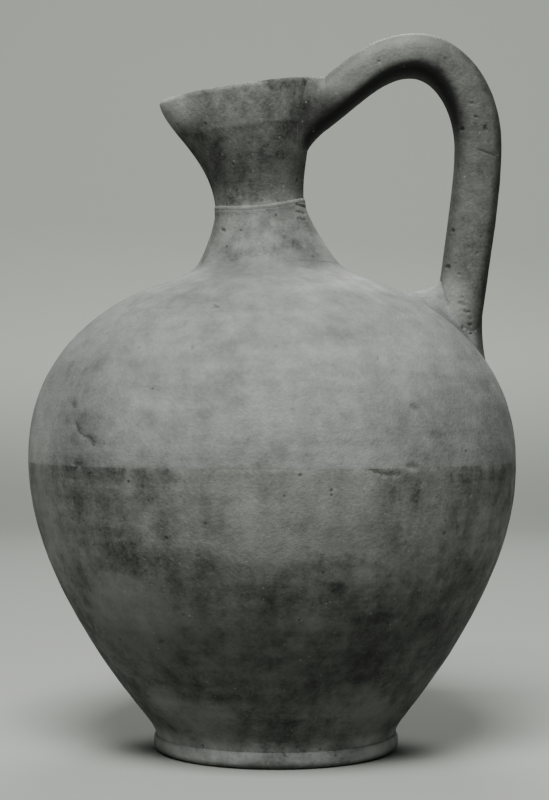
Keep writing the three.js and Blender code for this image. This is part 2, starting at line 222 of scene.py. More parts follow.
@dataclass(frozen=True)
class Stance:
    """How the soft wall settled: the body is off plumb and the neck leans towards the beak."""

    levels: Levels
    body_drift: float = 0.75
    lean_depth: float = 19.0
    neck_lean: float = 5.2
    throat_shift: float = 5.0
    throat_dip: float = 3.0
    dip_span: float = 14.0
    dip_radius: float = 21.3

    @property
    def lean_level(self) -> float:
        """Level at which the neck starts to lean."""
        return self.levels.neck - self.lean_depth

    @property
    def throat_centre(self) -> np.ndarray:
        """Middle of the throat in the plane Y = 0."""
        drift = math.tan(math.radians(self.body_drift))
        return np.array([-drift * self.lean_level - self.throat_shift, self.levels.throat])

    def middle(self, level: np.ndarray) -> np.ndarray:
        """Find the wall's middle line.

        Args:
            level: Levels before the wall settled.

        Returns:
            One point in the plane Y = 0 per level.
        """
        level = np.asarray(level, float)
        drift = math.tan(math.radians(self.body_drift))
        start = np.array([-drift * self.lean_level, self.lean_level])
        pull = (self.levels.throat - self.lean_level) / 3
        lean = directed(-self.neck_lean, 1)
        bend = Curve((
            tuple(start),
            (start[0] - drift * pull, self.lean_level + pull),
            tuple(self.throat_centre - lean * pull),
            tuple(self.throat_centre),
        ))
        straight = np.stack([-drift * level, level], axis=-1)
        share = (level - self.lean_level) / (self.levels.throat - self.lean_level)
        bent = bend.at(np.clip(share, 0, 1).ravel()).reshape(*level.shape, 2)
        leaning = self.throat_centre + lean * (level - self.levels.throat)[..., None]
        place = np.where((level <= self.lean_level)[..., None], straight, bent)
        return np.where((level >= self.levels.throat)[..., None], leaning, place)

    def settle(self, across: np.ndarray, side: np.ndarray, level: np.ndarray) -> np.ndarray:
        """Move points of the straight shape to where the settled wall has them.

        Args:
            across: Places along X.
            side: Places along Y.
            level: Places along Z.

        Returns:
            Settled points.
        """
        centre = self.middle(level)
        tilt = math.radians(self.neck_lean) * smoothstep(level, self.lean_level, self.levels.throat)
        x = centre[..., 0] + across * np.cos(tilt)
        dip = self.throat_dip * np.exp(-(((level - self.levels.throat) / self.dip_span) ** 2))
        dip = dip * np.clip(-side / self.dip_radius, 0, 1) ** 2
        z = centre[..., 1] + across * np.sin(tilt) - dip
        return np.stack([x, side + 0 * x, z], axis=-1)


# Closed meshes out of rings of points


@dataclass
class Strip:
    """Rings of one smooth surface. Relief says how much of the clay's surface marks it takes."""

    rings: np.ndarray
    relief: float = 1.0

    def outward(self) -> np.ndarray:
        """Find the unit normals of the strip's points."""
        around = np.roll(self.rings, -1, axis=1) - np.roll(self.rings, 1, axis=1)
        along = np.gradient(self.rings, axis=0)
        normal = np.cross(around, along)
        return normal / np.maximum(np.linalg.norm(normal, axis=2, keepdims=True), 1e-9)


class Ends(Enum):
    """How a row of rings is closed."""

    LOOP = "the last ring meets the first"
    POLES = "each end closes on one point"


@dataclass
class Shell:
    """A closed mesh made of strips, with a sharp edge where two strips meet."""

    name: str
    strips: list[Strip]
    ends: Ends = Ends.LOOP
    soft_joints: tuple[int, ...] = ()
    outward: np.ndarray = field(init=False, repr=False)

    def build(self) -> bpy.types.Object:
        """Join the strips and make the object.

        Returns:
            An object at the origin, with its place in its mesh.
        """
        rings, outward, sharp = self._joined_rings()
        sides = rings.shape[1]
        points = rings.reshape(-1, 3)
        faces = self._quads(len(rings), sides)
        normals = outward.reshape(-1, 3)
        if self.ends is Ends.POLES:
            first, last = len(points), len(points) + 1
            faces += [(first, (side + 1) % sides, side) for side in range(sides)]
            start = (len(rings) - 1) * sides
            faces += [(last, start + side, start + (side + 1) % sides) for side in range(sides)]
            points = np.vstack([points, rings[0].mean(axis=0), rings[-1].mean(axis=0)])
            normals = np.vstack([normals, np.zeros((2, 3))])
        mesh = bpy.data.meshes.new(f"{self.name}_fired")
        mesh.from_pydata((points * METRES).tolist(), [], faces)
        mesh.update(calc_edges=True)
        mesh.shade_smooth()
        self._mark_sharp(mesh, sides, sharp, len(rings))
        attribute = mesh.attributes.new("outward", "FLOAT_VECTOR", "POINT")
        attribute.data.foreach_set("vector", normals.astype(np.float32).ravel())
        piece = bpy.data.objects.new(f"{self.name}_fired", mesh)
        bpy.context.scene.collection.objects.link(piece)
        return piece

    def _joined_rings(self) -> tuple[np.ndarray, np.ndarray, list[int]]:
        """Put the strips' rings in one row, each shared ring once."""
        rings = list(self.strips[0].rings)
        outward = list(self.strips[0].outward() * self.strips[0].relief)
        sharp = []
        before = self.strips[0].relief
        for index, strip in enumerate(self.strips[1:]):
            normals = strip.outward() * strip.relief
            if strip.relief > before:
                outward[-1] = normals[0]
            if index not in self.soft_joints:
                sharp.append(len(rings) - 1)
            rings += list(strip.rings[1:])
            outward += list(normals[1:])
            before = strip.relief
        if self.ends is Ends.LOOP:
            if before > self.strips[0].relief:
                outward[0] = outward[-1]
            rings.pop()
            outward.pop()
            sharp.append(0)
        return np.array(rings), np.array(outward), sharp

    def _quads(self, count: int, sides: int) -> list[tuple[int, int, int, int]]:
        """List the quads between neighbouring rings."""
        spans = count if self.ends is Ends.LOOP else count - 1
        faces = []
        for ring in range(spans):
            here, above = ring * sides, ((ring + 1) % count) * sides
            for side in range(sides):
                beside = (side + 1) % sides
                faces.append((here + side, here + beside, above + beside, above + side))
        return faces

    @staticmethod
    def _mark_sharp(mesh: bpy.types.Mesh, sides: int, sharp: list[int], count: int) -> None:
        """Mark the edges of the given rings as sharp."""
        pairs = np.zeros(len(mesh.edges) * 2, np.int32)
        mesh.edges.foreach_get("vertices", pairs)
        ring = pairs.reshape(-1, 2) // sides
        same = (ring[:, 0] == ring[:, 1]) & np.isin(ring[:, 0], sharp) & (ring[:, 0] < count)
        attribute = mesh.attributes.new("sharp_edge", "BOOLEAN", "EDGE")
        attribute.data.foreach_set("value", same)


def turned_ring(stance: Stance, radius: float, level: float) -> np.ndarray:
    """Turn one point round the wheel's axis and settle it.

    Args:
        stance: How the wall settled.
        radius: The point's radius.
        level: The point's level.

    Returns:
        The ring of points.
    """
    angle = np.arange(ROUND_SIDES) / ROUND_SIDES * 2 * math.pi
    return stance.settle(radius * np.cos(angle), radius * np.sin(angle), np.full(ROUND_SIDES, level))


def turned(stance: Stance, profile: np.ndarray, relief: float = 1.0) -> Strip:
    """Turn a profile into a strip.

    Args:
        stance: How the wall settled.
        profile: Radii and levels.
        relief: How much of the surface marks the strip takes.

    Returns:
        The strip.
    """
    return Strip(np.array([turned_ring(stance, radius, level) for radius, level in profile]), relief)


# Node trees


class Sheet:
    """A node tree being laid out, for shaders and for geometry."""

    def __init__(self, tree: bpy.types.NodeTree) -> None:
        """Start on an empty tree."""
        self.tree = tree
        self.tree.nodes.clear()

    def node(self, kind: str, **settings: object) -> bpy.types.Node:
        """Add a node.

        Args:
            kind: The node's type name.
            **settings: Properties to set on it.

        Returns:
            The node.
        """
        made = self.tree.nodes.new(kind)
        for name, value in settings.items():
            setattr(made, name, value)
        return made

    def feed(self, socket: bpy.types.NodeSocket, value: object) -> None:
        """Join a socket to another, or give it a plain value."""
        if isinstance(value, bpy.types.NodeSocket):
            self.tree.links.new(socket, value)
        elif value is not None:
            socket.default_value = value

    def math(self, operation: str, a: object, b: object = None, clamp: bool = False) -> bpy.types.NodeSocket:
        """Add a Math node.

        Args:
            operation: The node's operation.
            a: First value or socket.
            b: Second value or socket.
            clamp: Whether the result stays from 0 to 1.

        Returns:
            The result.
        """
        made = self.node("ShaderNodeMath", operation=operation, use_clamp=clamp)
        self.feed(made.inputs[0], a)
        self.feed(made.inputs[1], b)
        return made.outputs[0]

    def vector(self, operation: str, a: object, b: object = None) -> bpy.types.NodeSocket:
        """Add a Vector Math node.

        Args:
            operation: The node's operation.
            a: First vector or socket.
            b: Second vector or socket.

        Returns:
            The result.
        """
        made = self.node("ShaderNodeVectorMath", operation=operation)
        self.feed(made.inputs[0], a)
        self.feed(made.inputs[1], b)
        return made.outputs["Value" if operation in ("LENGTH", "DOT_PRODUCT") else "Vector"]

    def stretch(self, vector: object, scale: tuple[float, float, float]) -> bpy.types.NodeSocket:
        """Multiply a vector by one factor per axis.

        Args:
            vector: The vector's socket.
            scale: Factors.

        Returns:
            The stretched vector.
        """
        return self.vector("MULTIPLY", vector, scale)

    def grey(self, value: object) -> bpy.types.NodeSocket:
        """Make a grey of a value.

        Args:
            value: The value's socket.

        Returns:
            The colour.
        """
        made = self.node("ShaderNodeCombineColor")
        for channel in range(3):
            self.feed(made.inputs[channel], value)
        return made.outputs[0]

    def noise(
        self, vector: object, scale: object, detail: float = 2.0, rough: float = 0.5, seed: object = 0.0
    ) -> bpy.types.NodeSocket:
        """Add a Noise Texture.

        Args:
            vector: Where it is read.
            scale: Features per metre of the vector.
            detail: Octaves.
            rough: Weight of each finer octave.
            seed: Where the fourth dimension is cut.

        Returns:
            Values round 0.5.
        """
        made = self.node("ShaderNodeTexNoise", noise_dimensions="4D")
        self.feed(made.inputs["Vector"], vector)
        self.feed(made.inputs["Scale"], scale)
        self.feed(made.inputs["Detail"], detail)
        self.feed(made.inputs["Roughness"], rough)
        self.feed(made.inputs["W"], seed)
        return made.outputs[0]

    def remap(
        self, value: object, low: object, high: object, to_low: object = 0.0, to_high: object = 1.0
    ) -> bpy.types.NodeSocket:
        """Map a value smoothly from one range to another, held at both ends.

        Args:
            value: The value's socket.
            low: Start of its range.
            high: End of its range.
            to_low: What low gives.
            to_high: What high gives.

        Returns:
            The mapped value.
        """
        made = self.node("ShaderNodeMapRange", interpolation_type="SMOOTHSTEP")
        for name, given in (
            ("Value", value), ("From Min", low), ("From Max", high), ("To Min", to_low), ("To Max", to_high)
        ):
            self.feed(made.inputs[name], given)
        return made.outputs[0]

    def blend(self, share: object, a: object, b: object, mode: str = "MIX") -> bpy.types.NodeSocket:
        """Mix two colours.

        Args:
            share: How much of the second.
            a: First colour.
            b: Second colour.
            mode: Blend mode.

        Returns:
            The mixed colour.
        """
        made = self.node("ShaderNodeMix", data_type="RGBA", blend_type=mode)
        self.feed(made.inputs["Factor"], share)
        self.feed(made.inputs[6], a)
        self.feed(made.inputs[7], b)
        return made.outputs[2]


@dataclass(frozen=True)
class SurfaceRelief:
    """Marks that throwing, handling and firing left in the clay, pressed in along the surface."""

    ring_spacing: float = 5.5
    ring_depth: float = 0.28
    dent_size: float = 38.0
    dent_depth: float = 0.75
    lump_size: float = 9.0
    lump_depth: float = 0.22
    pit_spacing: float = 7.0
    pit_depth: float = 0.55
    seed: int = 7

    def tree(self) -> bpy.types.NodeTree:
        """Build the Geometry Nodes tree, or find it if it is there.

        Returns:
            The tree.
        """
        found = bpy.data.node_groups.get("clay_relief")
        if found:
            return found
        tree = bpy.data.node_groups.new("clay_relief", "GeometryNodeTree")
        tree.is_modifier = True
        face = tree.interface
        face.new_socket("Geometry", in_out="INPUT", socket_type="NodeSocketGeometry")
        for name in self.inputs():
            face.new_socket(name, in_out="INPUT", socket_type="NodeSocketFloat")
        face.new_socket("Clay", in_out="INPUT", socket_type="NodeSocketMaterial")
        face.new_socket("Geometry", in_out="OUTPUT", socket_type="NodeSocketGeometry")
        sheet = Sheet(tree)
        given = sheet.node("NodeGroupInput").outputs
        place = sheet.node("GeometryNodeInputPosition").outputs[0]
        depth, pits = self._depth(sheet, given, place)
        outward = sheet.node("GeometryNodeInputNamedAttribute", data_type="FLOAT_VECTOR")
        outward.inputs["Name"].default_value = "outward"
        offset = sheet.node("ShaderNodeVectorMath", operation="SCALE")
        sheet.feed(offset.inputs[0], outward.outputs[0])
        sheet.feed(offset.inputs["Scale"], sheet.math("MULTIPLY", depth, -METRES))
        moved = sheet.node("GeometryNodeSetPosition")
        sheet.feed(moved.inputs["Geometry"], given["Geometry"])
        sheet.feed(moved.inputs["Offset"], offset.outputs[0])
        stored = sheet.node("GeometryNodeStoreNamedAttribute", data_type="FLOAT", domain="POINT")
        sheet.feed(stored.inputs["Geometry"], moved.outputs[0])
        stored.inputs["Name"].default_value = "pit"
        sheet.feed(stored.inputs["Value"], pits)
        real = sheet.node("GeometryNodeRealizeInstances")
        sheet.feed(real.inputs[0], stored.outputs[0])
        dressed = sheet.node("GeometryNodeSetMaterial")
        sheet.feed(dressed.inputs["Geometry"], real.outputs[0])
        sheet.feed(dressed.inputs["Material"], given["Clay"])
        result = sheet.node("NodeGroupOutput")
        sheet.feed(result.inputs[0], dressed.outputs[0])
        return tree

    def inputs(self) -> dict[str, float]:
        """Name the tree's number inputs and their values."""
        return {
            "Ring Spacing": self.ring_spacing * METRES,
            "Ring Depth": self.ring_depth,
            "Dent Size": self.dent_size * METRES,
            "Dent Depth": self.dent_depth,
            "Lump Size": self.lump_size * METRES,
            "Lump Depth": self.lump_depth,
            "Pit Spacing": self.pit_spacing * METRES,
            "Pit Depth": self.pit_depth,
            "Seed": float(self.seed),
        }

    @staticmethod
    def _depth(
        sheet: Sheet, given: bpy.types.bpy_prop_collection, place: bpy.types.NodeSocket
    ) -> tuple[bpy.types.NodeSocket, bpy.types.NodeSocket]:
        """Add up how deep each kind of mark goes, in millimetres, and say where the pits are."""
        flattened = sheet.stretch(place, (0.06, 0.06, 1.0))
        per_ring = sheet.math("DIVIDE", 1.0, given["Ring Spacing"])
        rings = sheet.noise(flattened, per_ring, 1.5, 0.5, given["Seed"])
        per_dent = sheet.math("DIVIDE", 1.0, given["Dent Size"])
        dents = sheet.noise(place, per_dent, 1.0, 0.4, given["Seed"])
        per_lump = sheet.math("DIVIDE", 1.0, given["Lump Size"])
        lumps = sheet.noise(place, per_lump, 2.0, 0.5, given["Seed"])
        cells = sheet.node("ShaderNodeTexVoronoi", voronoi_dimensions="4D", feature="F1")
        sheet.feed(cells.inputs["Vector"], place)
        sheet.feed(cells.inputs["W"], given["Seed"])
        sheet.feed(cells.inputs["Scale"], sheet.math("DIVIDE", 1.0, given["Pit Spacing"]))
        chance = sheet.node("FunctionNodeSeparateColor")
        sheet.feed(chance.inputs[0], cells.outputs["Color"])
        pitted = sheet.node("GeometryNodeInputNamedAttribute", data_type="FLOAT")
        pitted.inputs["Name"].default_value = "pitted"
        reach = sheet.math("SUBTRACT", pitted.outputs[0], chance.outputs[0])
        width = sheet.remap(reach, 0.0, 0.7, 0.0, 0.2)
        near = sheet.math("DIVIDE", cells.outputs["Distance"], sheet.math("ADD", width, 0.0001))
        pits = sheet.remap(near, 1.0, 0.35)
        parts = [
            sheet.math("MULTIPLY", rings, given["Ring Depth"]),
            sheet.math("MULTIPLY", dents, given["Dent Depth"]),
            sheet.math("MULTIPLY", lumps, given["Lump Depth"]),
            sheet.math("MULTIPLY", pits, given["Pit Depth"]),
        ]
        depth = parts[0]
        for part in parts[1:]:
            depth = sheet.math("ADD", depth, part)
        mean = sheet.math("ADD", given["Ring Depth"], given["Dent Depth"])
        mean = sheet.math("MULTIPLY", sheet.math("ADD", mean, given["Lump Depth"]), -0.5)
        return sheet.math("ADD", depth, mean), pits

    def press(self, piece: bpy.types.Object, clay: bpy.types.Material) -> bpy.types.Object:
        """Press the marks into a piece and give it its clay.

        Args:
            piece: The plain piece.
            clay: Its material.

        Returns:
            The piece, with a plain mesh and no modifier.
        """
        tree = self.tree()
        modifier = piece.modifiers.new("clay_relief", "NODES")
        modifier.node_group = tree
        values = {**self.inputs(), "Clay": clay}
        for item in tree.interface.items_tree:
            if item.in_out == "INPUT" and item.name in values:
                modifier[item.identifier] = values[item.name]
        piece.update_tag()
        bpy.context.view_layer.update()
        evaluated = piece.evaluated_get(bpy.context.evaluated_depsgraph_get())
        pressed = bpy.data.meshes.new_from_object(evaluated)
        piece.modifiers.remove(modifier)
        before = piece.data
        piece.data = pressed
        bpy.data.meshes.remove(before)
        self._keep_in_box(pressed)
        return piece

    @staticmethod
    def _keep_in_box(mesh: bpy.types.Mesh) -> None:
        """Hold every point inside the CAD model's box."""
        places = np.zeros(len(mesh.vertices) * 3, np.float32)
        mesh.vertices.foreach_get("co", places)
        low, high = (np.array(corner) for corner in cad_box)
        held = np.clip(places.reshape(-1, 3), low, high)
        mesh.vertices.foreach_set("co", held.astype(np.float32).ravel())
        mesh.update()


# Clay


def shader_group(name: str, inputs: dict[str, str], outputs: dict[str, str]) -> bpy.types.NodeTree:
    """Make an empty shader group with named sockets.

    Args:
        name: The group's name.
        inputs: Socket types by name.
        outputs: Socket types by name.

    Returns:
        The group.
    """
    group = bpy.data.node_groups.new(name, "ShaderNodeTree")
    for socket, kind in inputs.items():
        group.interface.new_socket(socket, in_out="INPUT", socket_type=kind)
    for socket, kind in outputs.items():
        group.interface.new_socket(socket, in_out="OUTPUT", socket_type=kind)
    return group


FLOAT, VECTOR = "NodeSocketFloat", "NodeSocketVector"


def mottle_group() -> bpy.types.NodeTree:
    """Make the group that clouds, wipes, streaks and specks a fired surface.

    Returns:
        The group. It puts out a tone round 1, masks of dark and pale specks, and a fine height.
    """
    found = bpy.data.node_groups.get("fired_mottle")
    if found:
        return found
    kinds = ("Clouds", "Blotches", "Wiping", "Runs", "Grain", "Soot", "Dust", "Specks")
    group = shader_group(
        "fired_mottle",
        {"Place": VECTOR, **{kind: FLOAT for kind in kinds}},
        {"Tone": FLOAT, "Dark Speck": FLOAT, "Pale Speck": FLOAT, "Height": FLOAT},
    )
    sheet = Sheet(group)
    given = sheet.node("NodeGroupInput").outputs
    place = given["Place"]
    swings = {
        "Clouds": sheet.noise(place, 30.0, 4.0, 0.6, 1.7),
        "Blotches": sheet.noise(place, 120.0, 4.0, 0.62, 5.2),
        "Wiping": sheet.noise(sheet.stretch(place, (14, 14, 150)), 1.0, 3.0, 0.55, 3.1),
        "Runs": sheet.noise(sheet.stretch(place, (80, 80, 16)), 1.0, 3.0, 0.6, 8.4),
        "Grain": sheet.noise(place, 620.0, 3.0, 0.7, 2.2),
    }
    tone: object = 1.0
    for kind, swing in swings.items():
        part = sheet.math("MULTIPLY", sheet.math("SUBTRACT", swing, 0.5), given[kind])
        tone = sheet.math("ADD", tone, part)
    soot = sheet.remap(sheet.noise(place, 190.0, 4.0, 0.7, 4.6), 0.55, 0.72)
    dust = sheet.remap(sheet.noise(place, 260.0, 4.0, 0.7, 9.3), 0.57, 0.74)
    tone = sheet.math("SUBTRACT", tone, sheet.math("MULTIPLY", soot, given["Soot"]))
    tone = sheet.math("ADD", tone, sheet.math("MULTIPLY", dust, given["Dust"]))
    dark = speck_mask(sheet, place, 300.0, given["Specks"])
    pale = speck_mask(sheet, sheet.stretch(place, (-1, 1, -1)), 560.0, given["Specks"])
    height = sheet.math("ADD", sheet.math("MULTIPLY", swings["Grain"], 1.2), swings["Blotches"])
    height = sheet.math("ADD", height, sheet.math("MULTIPLY", swings["Wiping"], 0.6))
    height = sheet.math("SUBTRACT", height, sheet.math("ADD", dark, sheet.math("MULTIPLY", soot, 0.3)))
    result = sheet.node("NodeGroupOutput")
    sheet.feed(result.inputs["Tone"], tone)
    sheet.feed(result.inputs["Dark Speck"], dark)
    sheet.feed(result.inputs["Pale Speck"], pale)
    sheet.feed(result.inputs["Height"], height)
    return group


def speck_mask(sheet: Sheet, place: object, per_metre: float, share: object) -> bpy.types.NodeSocket:
    """Mark the middle of some cells of a scatter.

    Args:
        sheet: The sheet that it is laid on.
        place: Where it is read.
        per_metre: Cells per metre.
        share: Share of the cells that hold a speck.

    Returns:
        The mask.
    """
    cells = sheet.node("ShaderNodeTexVoronoi", voronoi_dimensions="3D", feature="F1")
    sheet.feed(cells.inputs["Vector"], place)
    cells.inputs["Scale"].default_value = per_metre
    chance = sheet.node("ShaderNodeSeparateColor")
    sheet.feed(chance.inputs[0], cells.outputs["Color"])
    chosen = sheet.remap(sheet.math("SUBTRACT", share, chance.outputs[0]), 0.0, 0.04)
    return sheet.math("MULTIPLY", sheet.remap(cells.outputs["Distance"], 0.34, 0.14), chosen)


def fire_and_light_cloud_group() -> bpy.types.NodeTree:
    """Make the group that lays one soft cloud over a tone: most clouds are of the kiln's fire, some are patches of
    painted light and shade.

    Returns:
        The group.
    """
    found = bpy.data.node_groups.get("fire_and_light_cloud")
    if found:
        return found
    group = shader_group(
        "fire_and_light_cloud",
        {"Place": VECTOR, "Centre": VECTOR, "Reach": VECTOR, "Cloud Tone": FLOAT, "Before": FLOAT},
        {"After": FLOAT},
    )
    sheet = Sheet(group)
    given = sheet.node("NodeGroupInput").outputs
    away = sheet.vector("SUBTRACT", given["Place"], given["Centre"])
    share = sheet.vector("LENGTH", sheet.vector("DIVIDE", away, given["Reach"]))
    mask = sheet.remap(share, 1.15, 0.3)
    change = sheet.math("SUBTRACT", given["Cloud Tone"], 1.0)
    factor = sheet.math("ADD", 1.0, sheet.math("MULTIPLY", mask, change))
    result = sheet.node("NodeGroupOutput")
    sheet.feed(result.inputs["After"], sheet.math("MULTIPLY", given["Before"], factor))
    return group


def scar_group() -> bpy.types.NodeTree:
    """Make the group that adds one straight stretch of a crack, chip or pit to a mask.

    Returns:
        The group. It looks at the front only in X and Z.
    """
    found = bpy.data.node_groups.get("scar")
    if found:
        return found
    group = shader_group(
        "scar",
        {"Place": VECTOR, "Start": VECTOR, "End": VECTOR, "Width": FLOAT, "Soot": FLOAT, "Before": FLOAT},
        {"After": FLOAT},
    )
    sheet = Sheet(group)
    given = sheet.node("NodeGroupInput").outputs
    flat = sheet.stretch(given["Place"], (1, 0, 1))
    away = sheet.vector("SUBTRACT", flat, given["Start"])
    along = sheet.vector("SUBTRACT", given["End"], given["Start"])
    reach = sheet.math("ADD", sheet.vector("DOT_PRODUCT", along, along), 1e-9)
    share = sheet.math("DIVIDE", sheet.vector("DOT_PRODUCT", away, along), reach, clamp=True)
    foot = sheet.node("ShaderNodeVectorMath", operation="SCALE")
    sheet.feed(foot.inputs[0], along)
    sheet.feed(foot.inputs["Scale"], share)
    gap = sheet.vector("LENGTH", sheet.vector("SUBTRACT", away, foot.outputs[0]))
    mask = sheet.remap(gap, given["Width"], sheet.math("MULTIPLY", given["Width"], 0.1))
    mask = sheet.math("MULTIPLY", mask, given["Soot"])
    result = sheet.node("NodeGroupOutput")
    sheet.feed(result.inputs["After"], sheet.math("MAXIMUM", given["Before"], mask))
    return group


@dataclass(frozen=True)
class Mark:
    """A pit, chip or crack on the front: places as X and Z in millimetres, half width, depth and soot in it."""

    places: tuple[tuple[float, float], ...]
    half_width: float = 1.3
    depth: float = 0.6
    soot: float = 0.6

    @property
    def stretches(self) -> list[tuple[tuple[float, float], tuple[float, float]]]:
        """The straight stretches from place to place."""
        return list(zip(self.places, self.places[1:])) or [(self.places[0], self.places[0])]

    def near(self, points: np.ndarray) -> np.ndarray:
        """Say how deep in the mark each point is.

        Args:
            points: Points in millimetres.

        Returns:
            Values from 0 to 1.
        """
        nearest = np.full(len(points), np.inf)
        for start, end in self.stretches:
            away, along = points[:, [0, 2]] - start, np.subtract(end, start)
            share = np.clip(away @ along / max(along @ along, 1e-9), 0, 1)
            nearest = np.minimum(nearest, np.linalg.norm(away - share[:, None] * along, axis=1))
        return 1 - smoothstep(nearest, 0.35 * self.half_width, self.half_width)


@dataclass(frozen=True)
class FireAndLightCloud:
    """A soft patch, in millimetres, where the clay is darker or paler: most are fire clouds, some are painted light and
    painted shade.
    """

    centre: tuple[float, float, float]
    reach: tuple[float, float, float]
    tone: float


@dataclass(frozen=True)
class PaintedShade:
    """A painted shade: surfaces darken to this tone as they turn towards one direction, away from the light."""

    direction: tuple[float, float, float]
    start: float
    full: float
    tone: float


@dataclass(frozen=True)
class Clay:
    """One member's fired clay. Its tones are greys by level above the table, in millimetres."""

    name: str
    tones: tuple[tuple[float, float], ...]
    fire_and_light_clouds: tuple[FireAndLightCloud, ...] = ()
    # Painted shade: by default, surfaces that face down are darkened.
    painted_shades: tuple[PaintedShade, ...] = (PaintedShade((0, 0, -1), 0.1, 0.85, 0.75),)
    clouds: float = 0.6
    blotches: float = 0.55
    wiping: float = 0.3
    runs: float = 0.1
    grain: float = 0.35
    soot: float = 0.1
    dust: float = 0.05
    specks: float = 0.05
    waver: float = 0.03
    roughness: float = 0.7
    bump: float = 0.4
    dark_tint: tuple[float, float, float] = (0.95, 1.0, 0.86)
    pale_tint: tuple[float, float, float] = (0.945, 1.0, 0.935)
    pale_grey: float = 0.17

    def material(self, marks: tuple[Mark, ...]) -> bpy.types.Material:
        """Build the material.

        Args:
            marks: The member's own pits and cracks.

        Returns:
            The material.
        """
        made = bpy.data.materials.new(self.name)
        made.use_nodes = True
        sheet = Sheet(made.node_tree)
        place = sheet.node("ShaderNodeTexCoord").outputs["Object"]
        outward = sheet.node("ShaderNodeAttribute", attribute_name="outward").outputs["Vector"]
        mottle = sheet.node("ShaderNodeGroup", node_tree=mottle_group())
        sheet.feed(mottle.inputs["Place"], place)
        for kind in ("clouds", "blotches", "wiping", "runs", "grain", "soot", "dust", "specks"):
            mottle.inputs[kind.title()].default_value = getattr(self, kind)
        warped = self._wavered(sheet, place, 26.0, 4.0, self.waver)
        # fired holds the fire clouds, the patches of painted light and shade, and the painted shade of surfaces turned
        # away from the light.
        fired = self._fired(sheet, warped, outward)
        tone = self._dirtied(sheet, fired, mottle.outputs["Tone"])
        level = sheet.vector("ADD", place, sheet.stretch(sheet.vector("SUBTRACT", warped, place), (0.35,) * 3))
        colour = sheet.blend(1.0, self._levels(sheet, level), sheet.grey(tone), "MULTIPLY")
        soot = (0.012, 0.012, 0.01, 1.0)
        lime = (0.3, 0.3, 0.27, 1.0)
        colour = sheet.blend(sheet.math("MULTIPLY", mottle.outputs["Dark Speck"], 0.6), colour, soot)
        colour = sheet.blend(sheet.math("MULTIPLY", mottle.outputs["Pale Speck"], 0.35), colour, lime)
        pit = sheet.node("ShaderNodeAttribute", attribute_name="pit").outputs["Fac"]
        hollow = sheet.math("MAXIMUM", sheet.math("MULTIPLY", pit, 0.45), self._scars(sheet, place, outward, marks))
        colour = sheet.blend(hollow, colour, soot)
        bump = sheet.node("ShaderNodeBump")
        bump.inputs["Strength"].default_value = self.bump
        bump.inputs["Distance"].default_value = 0.0008
        sheet.feed(bump.inputs["Height"], sheet.math("SUBTRACT", mottle.outputs["Height"], hollow))
        shader = sheet.node("ShaderNodeBsdfPrincipled")
        sheet.feed(shader.inputs["Base Color"], colour)
        sheet.feed(shader.inputs["Normal"], bump.outputs[0])
        sheet.feed(shader.inputs["Roughness"], sheet.remap(tone, 0.5, 1.5, self.roughness + 0.08, self.roughness - 0.08))
        shader.inputs["Specular IOR Level"].default_value = 0.35
        result = sheet.node("ShaderNodeOutputMaterial")
        sheet.feed(result.inputs[0], shader.outputs[0])
        return made

    def _levels(self, sheet: Sheet, place: bpy.types.NodeSocket) -> bpy.types.NodeSocket:
        """Lay the tones over the height. Dark clay is warmer than pale clay."""
        height = sheet.node("ShaderNodeSeparateXYZ")
        sheet.feed(height.inputs[0], place)
        top = self.tones[-1][0] * METRES
        ramp = sheet.node("ShaderNodeValToRGB")
        sheet.feed(ramp.inputs[0], sheet.math("DIVIDE", height.outputs[2], top))
        stops = ramp.color_ramp.elements
        while len(stops) > 1:
            stops.remove(stops[-1])
        for index, (level, grey) in enumerate(self.tones):
            stop = stops[0] if index == 0 else stops.new(1.0)
            stop.position = level * METRES / top
            share = min(1.0, grey / self.pale_grey)
            tint = [dark + (pale - dark) * share for dark, pale in zip(self.dark_tint, self.pale_tint)]
            stop.color = (*(grey * channel for channel in tint), 1.0)
        return ramp.outputs[0]

    def _fired(
        self, sheet: Sheet, warped: bpy.types.NodeSocket, outward: bpy.types.NodeSocket
    ) -> bpy.types.NodeSocket | float:
        """Lay the fire clouds with the patches of painted light and shade among them, and the painted shade of surfaces
        that turn away from the light.
        """
        tone: bpy.types.NodeSocket | float = 1.0
        for cloud in self.fire_and_light_clouds:
            laid = sheet.node("ShaderNodeGroup", node_tree=fire_and_light_cloud_group())
            sheet.feed(laid.inputs["Place"], warped)
            laid.inputs["Centre"].default_value = tuple(value * METRES for value in cloud.centre)
            laid.inputs["Reach"].default_value = tuple(value * METRES for value in cloud.reach)
            laid.inputs["Cloud Tone"].default_value = cloud.tone
            sheet.feed(laid.inputs["Before"], tone)
            tone = laid.outputs["After"]
        for painted_shade in self.painted_shades:
            turned_to = sheet.vector("DOT_PRODUCT", outward, painted_shade.direction)
            change = sheet.remap(turned_to, painted_shade.start, painted_shade.full, 1.0, painted_shade.tone)
            tone = sheet.math("MULTIPLY", tone, change)
        return tone

    @staticmethod
    def _dirtied(sheet: Sheet, fired: object, mottle: bpy.types.NodeSocket) -> bpy.types.NodeSocket:
        """Lay the mottle over the fired tone, stronger where that tone is darker, painted shade included."""
        darkness_gain = sheet.math("ADD", 1.0, sheet.math("MULTIPLY", sheet.math("SUBTRACT", 1.0, fired), 1.3))
        darkness_gain = sheet.math("MINIMUM", sheet.math("MAXIMUM", darkness_gain, 0.5), 1.8)
        swing = sheet.math("MULTIPLY", sheet.math("SUBTRACT", mottle, 1.0), darkness_gain)
        return sheet.math("MULTIPLY", fired, sheet.math("MAXIMUM", sheet.math("ADD", 1.0, swing), 0.25))

